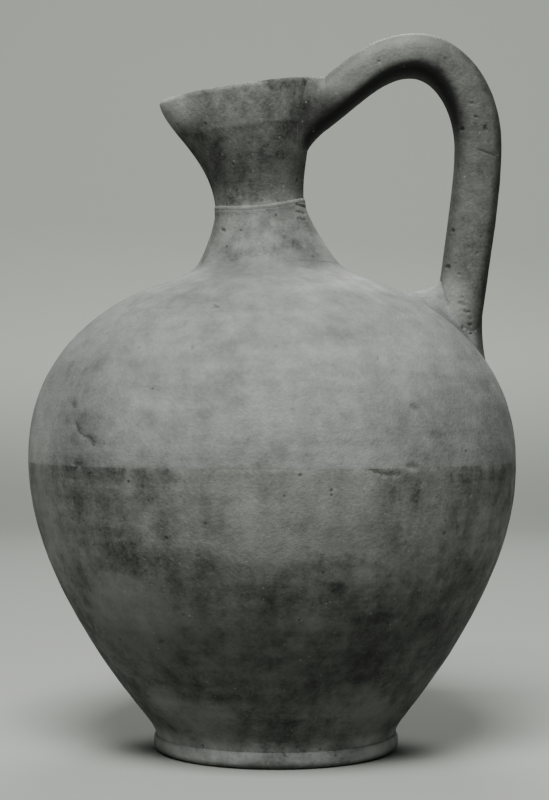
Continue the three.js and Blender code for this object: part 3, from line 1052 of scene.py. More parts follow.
    @staticmethod
    def _wavered(sheet: Sheet, place: object, per_metre: float, detail: float, reach: float) -> bpy.types.NodeSocket:
        """Move places about by a noise, so that borders waver."""
        drift = sheet.node("ShaderNodeTexNoise", noise_dimensions="3D")
        sheet.feed(drift.inputs["Vector"], place)
        drift.inputs["Scale"].default_value = per_metre
        drift.inputs["Detail"].default_value = detail
        swing = sheet.vector("SUBTRACT", drift.outputs["Color"], (0.5, 0.5, 0.5))
        return sheet.vector("ADD", place, sheet.stretch(swing, (reach,) * 3))

    def _scars(
        self, sheet: Sheet, place: object, outward: bpy.types.NodeSocket, marks: tuple[Mark, ...]
    ) -> bpy.types.NodeSocket | float:
        """Mask the pits and cracks on the front, with ragged edges."""
        if not marks:
            return 0.0
        ragged = self._wavered(sheet, place, 480.0, 3.0, 0.0034)
        mask: bpy.types.NodeSocket | float = 0.0
        for mark in marks:
            for start, end in mark.stretches:
                scar = sheet.node("ShaderNodeGroup", node_tree=scar_group())
                sheet.feed(scar.inputs["Place"], ragged)
                scar.inputs["Start"].default_value = (start[0] * METRES, 0, start[1] * METRES)
                scar.inputs["End"].default_value = (end[0] * METRES, 0, end[1] * METRES)
                scar.inputs["Width"].default_value = mark.half_width * METRES
                scar.inputs["Soot"].default_value = mark.soot
                sheet.feed(scar.inputs["Before"], mask)
                mask = scar.outputs["After"]
        front = sheet.remap(sheet.vector("DOT_PRODUCT", outward, (0, -1, 0)), 0.1, 0.3)
        return sheet.math("MULTIPLY", mask, front)


# The jug's members


@dataclass
class Member(ABC):
    """One member of clay: it knows its CAD node, its shape and its finish."""

    stance: Stance
    clay: Clay
    relief: SurfaceRelief = field(default_factory=SurfaceRelief)
    marks: tuple[Mark, ...] = ()
    node: str = field(init=False, default="")

    @abstractmethod
    def shell(self) -> Shell:
        """Make the member's plain closed shell."""

    def pitted(self, points: np.ndarray) -> np.ndarray:
        """Say how pitted the clay is at each point.

        Args:
            points: Places in millimetres.

        Returns:
            Values from 0 to 1.
        """
        mouth = smoothstep(points[:, 2], self.stance.levels.throat, self.stance.levels.throat + 12)
        foot = 1 - smoothstep(points[:, 2], 20, 60)
        return 0.06 + 0.12 * mouth + 0.12 * foot

    def dress(self) -> bpy.types.Object:
        """Build the member, press its surface marks in and fix it to its node.

        Returns:
            The finished piece.
        """
        piece = self.shell().build()
        count = len(piece.data.vertices)
        places = np.zeros(count * 3)
        piece.data.vertices.foreach_get("co", places)
        attribute = piece.data.attributes.new("pitted", "FLOAT", "POINT")
        amount = self.pitted(places.reshape(-1, 3) / METRES)
        attribute.data.foreach_set("value", amount.astype(np.float32))
        self.relief.press(piece, self.clay.material(self.marks))
        self._press_marks(piece.data)
        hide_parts(self.node)
        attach(piece, BODY)
        LOG.info("%s: %d faces", piece.name, len(piece.data.polygons))
        return piece

    def _press_marks(self, mesh: bpy.types.Mesh) -> None:
        """Press the member's own pits and cracks into the front of its mesh."""
        count = len(mesh.vertices)
        places, outward = np.zeros(count * 3), np.zeros(count * 3)
        mesh.vertices.foreach_get("co", places)
        mesh.attributes["outward"].data.foreach_get("vector", outward)
        places, outward = places.reshape(-1, 3), outward.reshape(-1, 3)
        front = smoothstep(-outward[:, 1], 0.1, 0.3)
        for mark in self.marks:
            depth = mark.near(places / METRES) * front * mark.depth * METRES
            places -= outward * depth[:, None]
        mesh.vertices.foreach_set("co", places.ravel())
        mesh.update()


@dataclass
class FootRing(Member):
    """The ring foot with its rounded, bulging edge."""

    rest_radius: float = 56.0
    rest_width: float = 9.0
    bulge: float = 1.3
    bulge_level: float = 0.45
    base_radius: float = 57.2
    inner_flare: float = 3.0
    worn_edge: float = 1.2

    def __post_init__(self) -> None:
        """Name the CAD node."""
        self.node = "foot_ring"

    def shell(self) -> Shell:
        """Make the foot's closed shell."""
        top = self.stance.levels.foot_height
        widest = (self.base_radius + self.bulge, top * self.bulge_level)
        recess = self.rest_radius - self.rest_width
        outer = joined(
            [
                Curve(((self.rest_radius - self.worn_edge, 0), (self.rest_radius, 0), (self.rest_radius + 0.6, 0.7))),
                Curve(((self.rest_radius + 0.6, 0.7), (widest[0], 1.4), widest)),
                Curve((widest, (widest[0], top), (self.base_radius, top))),
            ],
            [6, 10, 12],
        )
        resting = np.linspace((recess + self.worn_edge, 0), (self.rest_radius - self.worn_edge, 0), 8)
        recess_wall = joined(
            [
                Curve(((recess - self.inner_flare, top), (recess - 0.3, self.worn_edge))),
                Curve(((recess - 0.3, self.worn_edge), (recess, 0), (recess + self.worn_edge, 0))),
            ],
            [8, 5],
        )
        upper = np.linspace((self.base_radius, top), (recess - self.inner_flare, top), 6)
        level = Stance(self.stance.levels, 0.0, self.stance.lean_depth, 0.0, 0.0)
        return Shell(
            self.node,
            [
                turned(level, resting, 0.0),
                turned(level, outer, 0.7),
                turned(level, upper, 0.0),
                turned(level, recess_wall, 0.0),
            ],
            soft_joints=(0,),
        )


@dataclass
class LowerBody(Member):
    """The lower half of the body, with the floor."""

    wall: float = 6.0
    floor_thickness: float = 8.0
    floor_fillet: float = 10.0
    base_radius: float = 57.2
    flare_radius: float = 62.0
    flare_rise: float = 8.7
    wall_angle: float = 33.7
    belly_radius: float = 116.2
    lower_wall_pull: float = 9.0
    lower_belly_pull: float = 57.5
    scarf_angle: float = 35.0

    def __post_init__(self) -> None:
        """Name the CAD node."""
        self.node = "lower_body"

    def outline(self) -> np.ndarray:
        """Trace the outer face from the base to the belly."""
        levels = self.stance.levels
        base = np.array([self.base_radius, levels.foot_height])
        flare = np.array([self.flare_radius, levels.foot_height + self.flare_rise])
        belly = np.array([self.belly_radius, levels.belly])
        wall = Curve((
            tuple(flare),
            tuple(flare + directed(self.wall_angle, self.lower_wall_pull)),
            tuple(belly - directed(0, self.lower_belly_pull)),
            tuple(belly),
        ))
        hollow = base + directed(12, self.flare_rise * 0.5)
        return joined([Curve((tuple(base), tuple(hollow), tuple(flare))), wall], [9, 130])

    def shell(self) -> Shell:
        """Make the lower body's closed shell."""
        outline = self.outline()
        inner = inset(outline, self.wall)
        inner[-1, 1] -= self.wall * math.tan(math.radians(self.scarf_angle))
        floor = self.stance.levels.foot_height + self.floor_thickness
        above = inner[::-6]
        above = above[above[:, 1] > floor + self.floor_fillet]
        down = above[-1] - above[-2]
        corner = crossing(above[-1], down, np.array([0.0, floor]), np.array([1.0, 0.0]))
        end = (corner[0] - np.linalg.norm(corner - above[-1]), floor)
        fillet = Curve((tuple(above[-1]), tuple(corner), end)).at(np.linspace(0, 1, 8))
        base_level = self.stance.levels.foot_height
        return Shell(
            self.node,
            [
                turned(self.stance, np.linspace((1, base_level), (self.base_radius, base_level), 12), 0.0),
                turned(self.stance, outline, 1.0),
                turned(self.stance, np.linspace(outline[-1], above[0], 3), 0.0),
                turned(self.stance, above, 0.2),
                turned(self.stance, fillet, 0.1),
                turned(self.stance, np.linspace(end, (1, floor), 12), 0.0),
            ],
            ends=Ends.POLES,
            soft_joints=(3, 4),
        )


@dataclass
class UpperBody(Member):
    """The upper half of the body, over the shoulder to the collar under the neck."""

    wall: float = 6.0
    belly_radius: float = 116.2
    shoulder_radius: float = 50.0
    shoulder_slope: float = 18.0
    upper_belly_pull: float = 53.5
    shoulder_pull: float = 27.0
    neck_root_radius: float = 34.5
    neck_root_slope: float = 50.0
    scarf_angle: float = 35.0

    def __post_init__(self) -> None:
        """Name the CAD node."""
        self.node = "upper_body"

    def wall_curve(self) -> Curve:
        """Give the curve from the belly to the shoulder's inner edge."""
        levels = self.stance.levels
        belly = np.array([self.belly_radius, levels.belly])
        edge = np.array([self.shoulder_radius, levels.shoulder])
        into_shoulder = directed(self.shoulder_slope - 90, 1)
        return Curve((
            tuple(belly),
            tuple(belly + directed(0, self.upper_belly_pull)),
            tuple(edge - into_shoulder * self.shoulder_pull),
            tuple(edge),
        ))

    def outline(self) -> np.ndarray:
        """Trace the outer face from the belly to the neck's root."""
        levels = self.stance.levels
        edge = np.array([self.shoulder_radius, levels.shoulder])
        root = np.array([self.neck_root_radius, levels.neck])
        corner = crossing(
            edge, directed(self.shoulder_slope - 90, 1), root, directed(self.neck_root_slope - 90, 1)
        )
        collar = Curve((tuple(edge), tuple(corner), tuple(root)))
        return joined([self.wall_curve(), collar], [110, 20])

    def shell(self) -> Shell:
        """Make the upper body's closed shell."""
        outline = self.outline()
        inner = inset(outline, self.wall)
        inner[0, 1] -= self.wall * math.tan(math.radians(self.scarf_angle))
        inner = np.vstack([inner[:1], inner[1:-1:5], inner[-1:]])
        return Shell(
            self.node,
            [
                turned(self.stance, outline, 1.0),
                turned(self.stance, np.linspace(outline[-1], inner[-1], 3), 0.0),
                turned(self.stance, inner[::-1], 0.2),
                turned(self.stance, np.linspace(inner[0], outline[0], 3), 0.0),
            ],
        )

    def level_at(self, x: np.ndarray, y: np.ndarray) -> np.ndarray:
        """Find the level of the shoulder's face over places in plan.

        Args:
            x: Places along X.
            y: Places along Y.

        Returns:
            Levels.
        """
        line = self.wall_curve().at(np.linspace(0, 1, 800))[::-1]
        level = np.full(np.shape(x), self.stance.levels.shoulder)
        for _ in range(4):
            radius = np.hypot(x - self.stance.middle(level)[..., 0], y)
            level = np.interp(radius, line[:, 0], line[:, 1])
        return level


@dataclass
class Neck(Member):
    """The short neck, which flares down to the shoulder."""

    wall: float = 5.5
    root_radius: float = 34.5
    root_slope: float = 50.0
    root_pull: float = 8.0
    throat_pull: float = 6.0
    throat_radius: float = 21.3
    throat_ledge: float = 0.5
    ledge_run: float = 5.0
    bead: float = 0.4
    bead_drop: float = 1.4
    bead_rise: float = 0.9
    scarf_angle: float = 35.0

    def __post_init__(self) -> None:
        """Name the CAD node."""
        self.node = "neck"

    def outline(self) -> np.ndarray:
        """Trace the outer face from the root to the throat."""
        levels = self.stance.levels
        root = np.array([self.root_radius, levels.neck])
        throat = np.array([self.throat_radius, levels.throat])
        line = Curve((
            tuple(root),
            tuple(root + directed(self.root_slope - 90, self.root_pull)),
            tuple(throat - directed(0, self.throat_pull)),
            tuple(throat),
        )).at(np.linspace(0, 1, 64))
        line[:, 0] += self.throat_ledge * smoothstep(line[:, 1], throat[1] - self.ledge_run, throat[1] - 1)
        return line

    def shell(self) -> Shell:
        """Make the neck's closed shell."""
        outline = self.outline()
        top = outline[-1]
        bead = Curve((
            tuple(top - (0, self.bead_drop)),
            tuple(top + (self.bead, self.bead_rise / 2)),
            tuple(top + (-self.throat_ledge - 0.3, self.bead_rise)),
        )).at(np.linspace(0, 1, 12))
        outside = np.vstack([outline[:-1][outline[:-1, 1] < top[1] - self.bead_drop - 0.2], bead])
        inner = inset(outline, self.wall)[::3]
        inner[-1, 1] -= self.wall * math.tan(math.radians(self.scarf_angle))
        return Shell(
            self.node,
            [
                turned(self.stance, outside, 1.0),
                turned(self.stance, np.linspace(outside[-1], inner[-1], 3), 0.0),
                turned(self.stance, inner[::-1], 0.2),
                turned(self.stance, np.linspace(inner[0], outside[0], 3), 0.0),
            ],
        )


@dataclass
class Mouth(Member):
    """The funnel above the throat: round at the back and drawn out to a beak in front."""

    throat_radius: float = 21.3
    neck_wall: float = 5.5
    lip_thickness: float = 4.2
    rim_radius: float = 30.5
    beak_reach: float = 43.5
    beak_rounding: float = 14.0
    flank_pulls: tuple[float, float] = (16.0, 24.0)
    flank_radius: float = 29.0
    breast_pulls: tuple[float, float] = (24.0, 16.0)
    breast_radius: float = 41.0
    rim_slope: float = 3.0
    rim_dip: float = 1.8
    wheel_ridge: float = 0.18
    ridge_height: float = 36.0
    scarf_angle: float = 35.0

    def __post_init__(self) -> None:
        """Name the CAD node."""
        self.node = "mouth"

    def _line(self, pulls: tuple[float, float], steep_radius: float, top_radius: float) -> np.ndarray:
        """Sample one upright line of the funnel as radius and height."""
        height = self.stance.levels.mouth_height
        return Curve((
            (self.throat_radius, 0),
            (self.throat_radius, pulls[0]),
            (steep_radius, height - pulls[1]),
            (top_radius, height),
        )).at(np.linspace(0, 1, 600))

    def flank_at(self, height: np.ndarray | float) -> np.ndarray:
        """Find the radius of the round part at a height above the throat."""
        line = self._line(self.flank_pulls, self.flank_radius, self.rim_radius)
        return np.interp(height, line[:, 1], line[:, 0])

    def breast_at(self, height: float) -> float:
        """Find the reach of the beak's breast at a height above the throat."""
        line = self._line(self.breast_pulls, self.breast_radius, self.beak_reach)
        return float(np.interp(height, line[:, 1], line[:, 0]))

    def ring(self, share: float, set_in: float, lift: float) -> np.ndarray:
        """Make one ring of the funnel.

        Args:
            share: Share of the mouth's height.
            set_in: How far the ring is inside the outer face.
            lift: How far it is raised.

        Returns:
            The ring of points.
        """
        levels = self.stance.levels
        height = levels.mouth_height * share
        ridge = self.wheel_ridge * math.exp(-(((height - self.ridge_height) / 1.3) ** 2))
        flank = float(self.flank_at(height)) + (ridge if set_in == 0 else 0.0)
        reach = max(self.breast_at(height), flank)
        rounding = math.radians(self.beak_rounding)
        beak_angle = math.acos(flank / reach) + rounding
        angle = np.arange(ROUND_SIDES) / ROUND_SIDES * 2 * math.pi
        taper = np.maximum(0, beak_angle - np.hypot(angle - math.pi, rounding))
        radius = (flank - set_in) / np.cos(taper)
        across = radius * np.cos(angle)
        slope = math.tan(math.radians(self.rim_slope)) * share**2
        dip = self.rim_dip * share**2 * np.sin(angle) ** 2
        level = levels.throat + height + lift + across * slope - dip
        return self.stance.settle(across, radius * np.sin(angle), level)

    def shell(self) -> Shell:
        """Make the mouth's closed shell."""
        shares = np.linspace(0, 1, 100)
        lip = self.lip_thickness / 2
        outside = [self.ring(share, 0, 0) for share in shares]
        turns = np.radians(np.linspace(0, 180, 13))[1:]
        outside += [self.ring(1, lip - lip * math.cos(turn), lip * math.sin(turn)) for turn in turns]
        walls = self.neck_wall + (self.lip_thickness - self.neck_wall) * shares
        outside += [self.ring(share, wall, 0) for share, wall in zip(shares[-2::-2], walls[-2::-2])]
        drop = self.neck_wall * math.tan(math.radians(self.scarf_angle))
        foot = self.ring(0, self.neck_wall, -drop)
        skin = np.array([*outside, foot])
        seam = np.linspace(skin[-1], skin[0], 3)
        return Shell(self.node, [Strip(skin, 1.0), Strip(seam, 0.0)])

    def face_x(self, y: np.ndarray, z: np.ndarray) -> np.ndarray:
        """Find where the funnel's back has its outer face.

        Args:
            y: Places along Y.
            z: Places along Z.

        Returns:
            Places along X.
        """
        lean = math.radians(self.stance.neck_lean)
        centre = self.stance.throat_centre
        across = np.full(np.shape(z), self.flank_radius)
        for _ in range(6):
            height = (z - centre[1] - across * math.sin(lean)) / math.cos(lean)
            flank = self.flank_at(np.clip(height, 0, self.stance.levels.mouth_height))
            across = np.sqrt(np.maximum(flank**2 - y**2, 1.0))
        return centre[0] - height * math.sin(lean) + across * math.cos(lean)


def squared_off(angle: np.ndarray, half_depth: np.ndarray | float, half_width: float, squareness: float) -> np.ndarray:
    """Find points of a squared-off oval.

    Args:
        angle: Angles round it.
        half_depth: Half of its size in the loop's plane.
        half_width: Half of its size across it.
        squareness: 2 gives an ellipse.

    Returns:
        Places out and aside.
    """
    power = 2 / squareness
    out = half_depth * np.sign(np.cos(angle)) * np.abs(np.cos(angle)) ** power
    aside = half_width * np.sign(np.sin(angle)) * np.abs(np.sin(angle)) ** power
    return np.stack([out, aside], axis=-1)


@dataclass
class Handle(Member):
    """The thick loop strap from the back of the mouth to the shoulder."""

    mouth: Mouth = field(kw_only=True)
    upper_body: UpperBody = field(kw_only=True)
    width: float = 26.5
    thickness: float = 22.2
    root_thickness: float = 19.8
    squareness: float = 2.9
    root_drop: float = 13.2
    root_rise: float = 36.0
    root_pull: float = 22.0
    crest_reach: float = 48.3
    crest_rise: float = 28.0
    crest_pull: float = 19.0
    outer_reach: float = 31.3
    outer_drop: float = 44.0
    outer_pull: float = 22.0
    landing_radius: float = 89.5
    landing_slope: float = 7.0
    landing_pull: float = 31.0
    swell: tuple[float, float] = (0.2, 0.5)
    burial: float = 15.0
    sides: int = 144
    rings: int = 400

    def __post_init__(self) -> None:
        """Name the CAD node."""
        self.node = "handle"

    @property
    def root(self) -> np.ndarray:
        """Where the handle's axis leaves the mouth."""
        height = self.stance.levels.mouth_height - self.root_drop
        flank = self.mouth.flank_at(height)
        place = self.stance.settle(flank, np.array(0.0), np.array(self.stance.levels.throat + height))
        return place[[0, 2]]

    @property
    def landing(self) -> np.ndarray:
        """Where the handle's axis meets the shoulder."""
        line = self.upper_body.wall_curve().at(np.linspace(0, 1, 800))[::-1]
        level = np.interp(self.landing_radius, line[:, 0], line[:, 1])
        place = self.stance.settle(np.array(self.landing_radius), np.array(0.0), np.array(level))
        return place[[0, 2]]

    def pieces_of_path(self) -> list[Curve]:
        """Give the path's curves, from inside the mouth's wall to inside the shoulder."""
        root, landing = self.root, self.landing
        crest = root + (self.crest_reach, self.crest_rise)
        outermost = crest + (self.outer_reach, -self.outer_drop)
        out = directed(90 - self.root_rise, 1)
        down = directed(180 + self.landing_slope, 1)
        quarter = 0.5523
        return [
            Curve((tuple(root - out * self.burial), tuple(root))),
            Curve((tuple(root), tuple(root + out * self.root_pull), tuple(crest - (self.crest_pull, 0)), tuple(crest))),
            Curve((
                tuple(crest),
                tuple(crest + (self.outer_reach * quarter, 0)),
                tuple(outermost + (0, self.outer_drop * quarter)),
                tuple(outermost),
            )),
            Curve((
                tuple(outermost),
                tuple(outermost - (0, self.outer_pull)),
                tuple(landing - down * self.landing_pull),
                tuple(landing),
            )),
            Curve((tuple(landing), tuple(landing + down * self.burial))),
        ]

    def path(self) -> tuple[np.ndarray, np.ndarray, np.ndarray]:
        """Sample the handle's axis.

        Returns:
            Distances along it, points and unit directions.
        """
        points = joined(self.pieces_of_path(), [60, 300, 300, 400, 60])
        steps = np.linalg.norm(np.diff(points, axis=0), axis=1)
        return np.concatenate([[0], np.cumsum(steps)]), points, tangents(points)

    def shift(self, level: np.ndarray) -> np.ndarray:
        """Find how far the axis stands from the landing at a level."""
        descent = self.pieces_of_path()[3].at(np.linspace(0, 1, 400))[::-1]
        above = np.interp(level, descent[:, 1], descent[:, 0]) - self.landing[0]
        below = (level - self.landing[1]) * math.tan(math.radians(self.landing_slope))
        return np.where(level > self.landing[1], above, below)

    def points_at(self, distance: np.ndarray, angle: np.ndarray) -> np.ndarray:
        """Find points of the handle's skin.

        Args:
            distance: Distances along the axis.
            angle: Angles round it.

        Returns:
            Points.
        """
        along_path, points, directions = self.path()
        centre = np.stack([np.interp(distance, along_path, points[:, i]) for i in range(2)], axis=-1)
        along = np.stack([np.interp(distance, along_path, directions[:, i]) for i in range(2)], axis=-1)
        share = distance / along_path[-1]
        grown = smoothstep(share, *self.swell)
        half = (self.root_thickness + (self.thickness - self.root_thickness) * grown) / 2
        section = squared_off(angle, half, self.width / 2, self.squareness)
        x = centre[..., 0] - along[..., 1] * section[..., 0]
        z = centre[..., 1] + along[..., 0] * section[..., 0]
        return np.stack([x, section[..., 1], z], axis=-1)

    def pitted(self, points: np.ndarray) -> np.ndarray:
        """Say how pitted the strap is: most on its upright part."""
        return 0.22 + 0.15 * smoothstep(points[:, 0], 70, 95)

    def shell(self) -> Shell:
        """Make the handle's closed shell. Each end stops just inside the wall that it meets."""
        angle = -np.arange(self.sides) / self.sides * 2 * math.pi
        length = self.path()[0][-1]
        reach = np.linspace(0, 2 * self.burial, 240)
        grid, turn = np.meshgrid(reach, angle, indexing="ij")
        sunk = 1.5
        near_mouth = self.points_at(grid, turn)
        in_mouth = near_mouth[..., 0] < self.mouth.face_x(near_mouth[..., 1], near_mouth[..., 2]) - sunk
        start = np.array([reach[column][-1] if column.any() else 0.0 for column in in_mouth.T])
        near_shoulder = self.points_at(length - grid, turn)
        level = self.upper_body.level_at(near_shoulder[..., 0], near_shoulder[..., 1])
        in_shoulder = near_shoulder[..., 2] < level - sunk
        end = np.array([reach[column][-1] if column.any() else 0.0 for column in in_shoulder.T])
        share = np.linspace(0, 1, self.rings)[:, None]
        distance = start + (length - end - start) * share
        skin = self.points_at(distance, np.broadcast_to(angle, distance.shape))
        return Shell(self.node, [Strip(skin, 1.0)], ends=Ends.POLES)


@dataclass
class UpperPad(Member):
    """The clay pressed round the handle where it meets the mouth."""

    handle: Handle = field(kw_only=True)
    reach: float = 8.6
    spread: float = 4.6
    crown: float = 4.5
    soft_start: float = 0.22
    skin_edge: float = 0.15
    rim_allowance: float = 2.0
    sides: int = 200
    steps: int = 60

    def __post_init__(self) -> None:
        """Name the CAD node."""
        self.node = "handle_root_upper"

    def shell(self) -> Shell:
        """Make the pad's closed shell."""
        handle, mouth = self.handle, self.handle.mouth
        rise = math.radians(handle.root_rise)
        angle = -np.arange(self.sides) / self.sides * 2 * math.pi
        root = handle.root
        start_x = root[0] + self.reach
        rings = []
        for turn in np.linspace(0, math.pi / 2, self.steps):
            grow = self.spread * (1 - math.cos(turn)) - self.skin_edge * math.cos(turn)
            along = math.sin(turn)
            lifted = self.crown / 2 * along * (1 - math.exp(-((along / self.soft_start) ** 2)))
            half_depth = handle.root_thickness / 2 / math.cos(rise) + grow + lifted
            section = squared_off(angle, half_depth, handle.width / 2 + grow, handle.squareness)
            end_x = mouth.face_x(section[:, 1], root[1] + lifted - section[:, 0]) - 0.6
            x = start_x + (end_x - start_x) * math.sin(turn)
            z = root[1] + lifted + (x - root[0]) * math.tan(rise) - section[:, 0]
            rings.append(np.stack([x, section[:, 1], self._under_rim(x, z)], axis=-1))
        buried = rings[-1] - (1.6, 0, 0)
        return Shell(self.node, [Strip(np.array(rings), 1.0), Strip(np.array([rings[-1], buried]), 0.0)], Ends.POLES)

    def _under_rim(self, x: np.ndarray, z: np.ndarray) -> np.ndarray:
        """Keep levels under the rim's plane, with a soft turn."""
        centre = self.stance.middle(np.array(self.stance.levels.rim))
        slope = math.tan(math.radians(self.stance.neck_lean + self.handle.mouth.rim_slope))
        plane = centre[1] + self.rim_allowance + (x - centre[0]) * slope
        soft = 0.8
        return plane - soft * np.logaddexp(0, (plane - z) / soft)


@dataclass
class LowerPad(Member):
    """The clay smeared round the handle's foot, with a tongue towards the neck."""

    handle: Handle = field(kw_only=True)
    height: float = 6.0
    tongue: float = 20.0
    flank: float = 5.0
    heel: float = 4.8
    heel_height: float = 30.0
    skin_edge: float = 0.15
    run_out: float = 0.5
    sides: int = 240
    steps: int = 70

    def __post_init__(self) -> None:
        """Name the CAD node."""
        self.node = "handle_root_lower"

    def pitted(self, points: np.ndarray) -> np.ndarray:
        """Say how pitted the pad is: most on the side away from the neck."""
        return 0.1 + 0.5 * smoothstep(points[:, 0], 84, 96)

    def ring(self, turn: float, lift: float) -> np.ndarray:
        """Make one ring of the hollow fillet round the handle's foot.

        Args:
            turn: From 0 on the handle to a quarter turn on the shoulder.
            lift: How far the ring is raised.

        Returns:
            The ring of points.
        """
        handle = self.handle
        angle = -np.arange(self.sides) / self.sides * 2 * math.pi
        inner = np.maximum(0, -np.cos(angle)) ** 2
        outer = np.maximum(0, np.cos(angle)) ** 2
        height = self.height * (1 - outer) + self.heel_height * outer
        reach = self.flank * (1 - inner - outer) + self.tongue * inner + self.heel * outer
        section = squared_off(angle, handle.thickness / 2, handle.width / 2, handle.squareness)
        edge_x = handle.landing[0] + section[:, 0] + (reach - self.skin_edge) * np.cos(angle)
        edge_y = section[:, 1] + (reach - self.skin_edge) * np.sin(angle)
        seat = np.full(self.sides, handle.landing[1])
        for _ in range(6):
            seat = handle.upper_body.level_at(edge_x + handle.shift(seat), edge_y)
        level = seat - self.run_out + (height + self.run_out) * (1 - math.sin(turn)) + lift
        back = reach * math.cos(turn) ** (1 + outer)
        x = edge_x - back * np.cos(angle) + handle.shift(level)
        return np.stack([x, edge_y - back * np.sin(angle), level], axis=-1)

    def shell(self) -> Shell:
        """Make the pad's closed shell."""
        turns = np.linspace(0, math.pi / 2, self.steps)
        rings = np.array([self.ring(turn, 0.0) for turn in turns])
        buried = self.ring(math.pi / 2, -1.5)
        return Shell(self.node, [Strip(rings, 1.0), Strip(np.array([rings[-1], buried]), 0.0)], Ends.POLES)


# Studio


@dataclass(frozen=True)
class Studio:
    """Camera, floor and soft lights round the jug, in metres."""

    eye: tuple[float, float, float] = (-0.00067, -0.912, 0.1666)
    lens: float = 85.5
    floor_greys: tuple[float, float] = (0.337, 0.78)
    sweep_height: float = 0.26
    key_power: float = 56.0
    back_power: float = 18.0
    ambient: float = 0.06

    def build(self) -> None:
        """Set up the camera, the floor and the lights."""
        self._camera()
        self._floor()
        self._light("key", (-0.12, -0.95, 1.55), 0.7, self.key_power)
        self._light("back", (0.1, 1.3, 1.35), 0.7, self.back_power)
        world = bpy.data.worlds.new("studio")
        bpy.context.scene.world = world
        world.use_nodes = True
        background = world.node_tree.nodes["Background"]
        background.inputs["Color"].default_value = (0.97, 1.0, 0.95, 1.0)
        background.inputs["Strength"].default_value = self.ambient

    def _camera(self) -> None:
        """Place the level camera."""
        data = bpy.data.cameras.new("camera")
        data.lens = self.lens
        data.clip_start = 0.01
        camera = bpy.data.objects.new("camera", data)
        camera.location = self.eye
        camera.rotation_euler = (math.pi / 2, 0, 0)
        bpy.context.scene.collection.objects.link(camera)
        bpy.context.scene.camera = camera

    def _light(self, name: str, place: tuple[float, float, float], size: float, power: float) -> None:
        """Hang a square soft light that looks at the jug's middle."""
        data = bpy.data.lights.new(name, "AREA")
        data.shape = "SQUARE"
        data.size = size
        data.energy = power
        light = bpy.data.objects.new(name, data)
        light.location = place
        aim = Vector((0, 0, 0.17)) - Vector(place)
        light.rotation_euler = aim.to_track_quat("-Z", "Y").to_euler()
        bpy.context.scene.collection.objects.link(light)

    def _floor(self) -> None:
        """Lay the pale floor, which sweeps up behind the jug."""
        half_width, front, bend_start, radius, top = 3.0, -2.5, 1.5, 0.7, 2.4
        turns = np.linspace(0, math.pi / 2, 16)
        line = [(front, 0.0), *[(bend_start + radius * math.sin(t), radius * (1 - math.cos(t))) for t in turns]]
        line.append((bend_start + radius, top))
        points = [(x, y, z) for y, z in line for x in (-half_width, half_width)]
        faces = [(2 * i, 2 * i + 1, 2 * i + 3, 2 * i + 2) for i in range(len(line) - 1)]
        mesh = bpy.data.meshes.new("floor")
        mesh.from_pydata(points, [], faces)
        mesh.shade_smooth()
        material = bpy.data.materials.new("floor_paper")
        material.use_nodes = True
        sheet = Sheet(material.node_tree)
        height = sheet.node("ShaderNodeSeparateXYZ")
        sheet.feed(height.inputs[0], sheet.node("ShaderNodeTexCoord").outputs["Object"])
        grey = sheet.remap(height.outputs[2], 0.0, self.sweep_height, *self.floor_greys)
        shader = sheet.node("ShaderNodeBsdfPrincipled")
        tint = (0.957, 1.0, 0.919, 1.0)
        sheet.feed(shader.inputs["Base Color"], sheet.blend(1.0, sheet.grey(grey), tint, "MULTIPLY"))
        shader.inputs["Roughness"].default_value = 0.9
        sheet.feed(sheet.node("ShaderNodeOutputMaterial").inputs[0], shader.outputs[0])
        mesh.materials.append(material)
        floor = bpy.data.objects.new("floor", mesh)
        bpy.context.scene.collection.objects.link(floor)


def body_marks() -> tuple[Mark, ...]:
    """Place the chips and cracks of the body: a crack and pits at the left, a scratch on the belly's line."""
    return (
        Mark(((-90, 165), (-89, 163.5)), 1.6, 0.6, 0.35),
        Mark(((-88, 156), (-86.5, 152.5), (-82.5, 150.5)), 1.2, 0.7, 0.45),
        Mark(((-81, 150), (-79.5, 147.5)), 1.7, 0.8, 0.5),
        Mark(((-88, 138.8), (-85.5, 138)), 1.5, 0.6, 0.45),
        Mark(((-27, 208), (-25.5, 207.6)), 1.3, 0.5, 0.5),
        Mark(((-36, 189.5),), 1.3, 0.5, 0.35),
        Mark(((-53, 171.5),), 0.9, 0.4),
        Mark(((44, 184.5),), 1.1, 0.5, 0.35),
        Mark(((40, 136.8), (45, 135.2), (52, 135)), 1.0, 0.6, 0.4),
        Mark(((57, 138.6), (60, 138)), 1.9, 0.6, 0.35),
        Mark(((59, 164), (61, 163.4)), 1.8, 0.5, 0.35),
        Mark(((-50.5, 60.5),), 1.5, 0.6, 0.5),
        Mark(((-69.5, 59.5),), 1.2, 0.5),
    )


def neck_marks() -> tuple[Mark, ...]:
    """Place the chips of the neck."""
    return (
        Mark(((-25.5, 247), (-24.5, 246.4)), 1.0, 0.5, 0.5),
        Mark(((10, 259), (14, 258.6)), 0.8, 0.4, 0.3),
        Mark(((10, 255.6), (13.5, 255.2)), 0.8, 0.4, 0.35),
        Mark(((10.5, 252.4), (14, 252)), 0.8, 0.4, 0.3),
        Mark(((9.5, 240), (11.5, 238.5)), 2.4, 0.5, 0.35),
    )


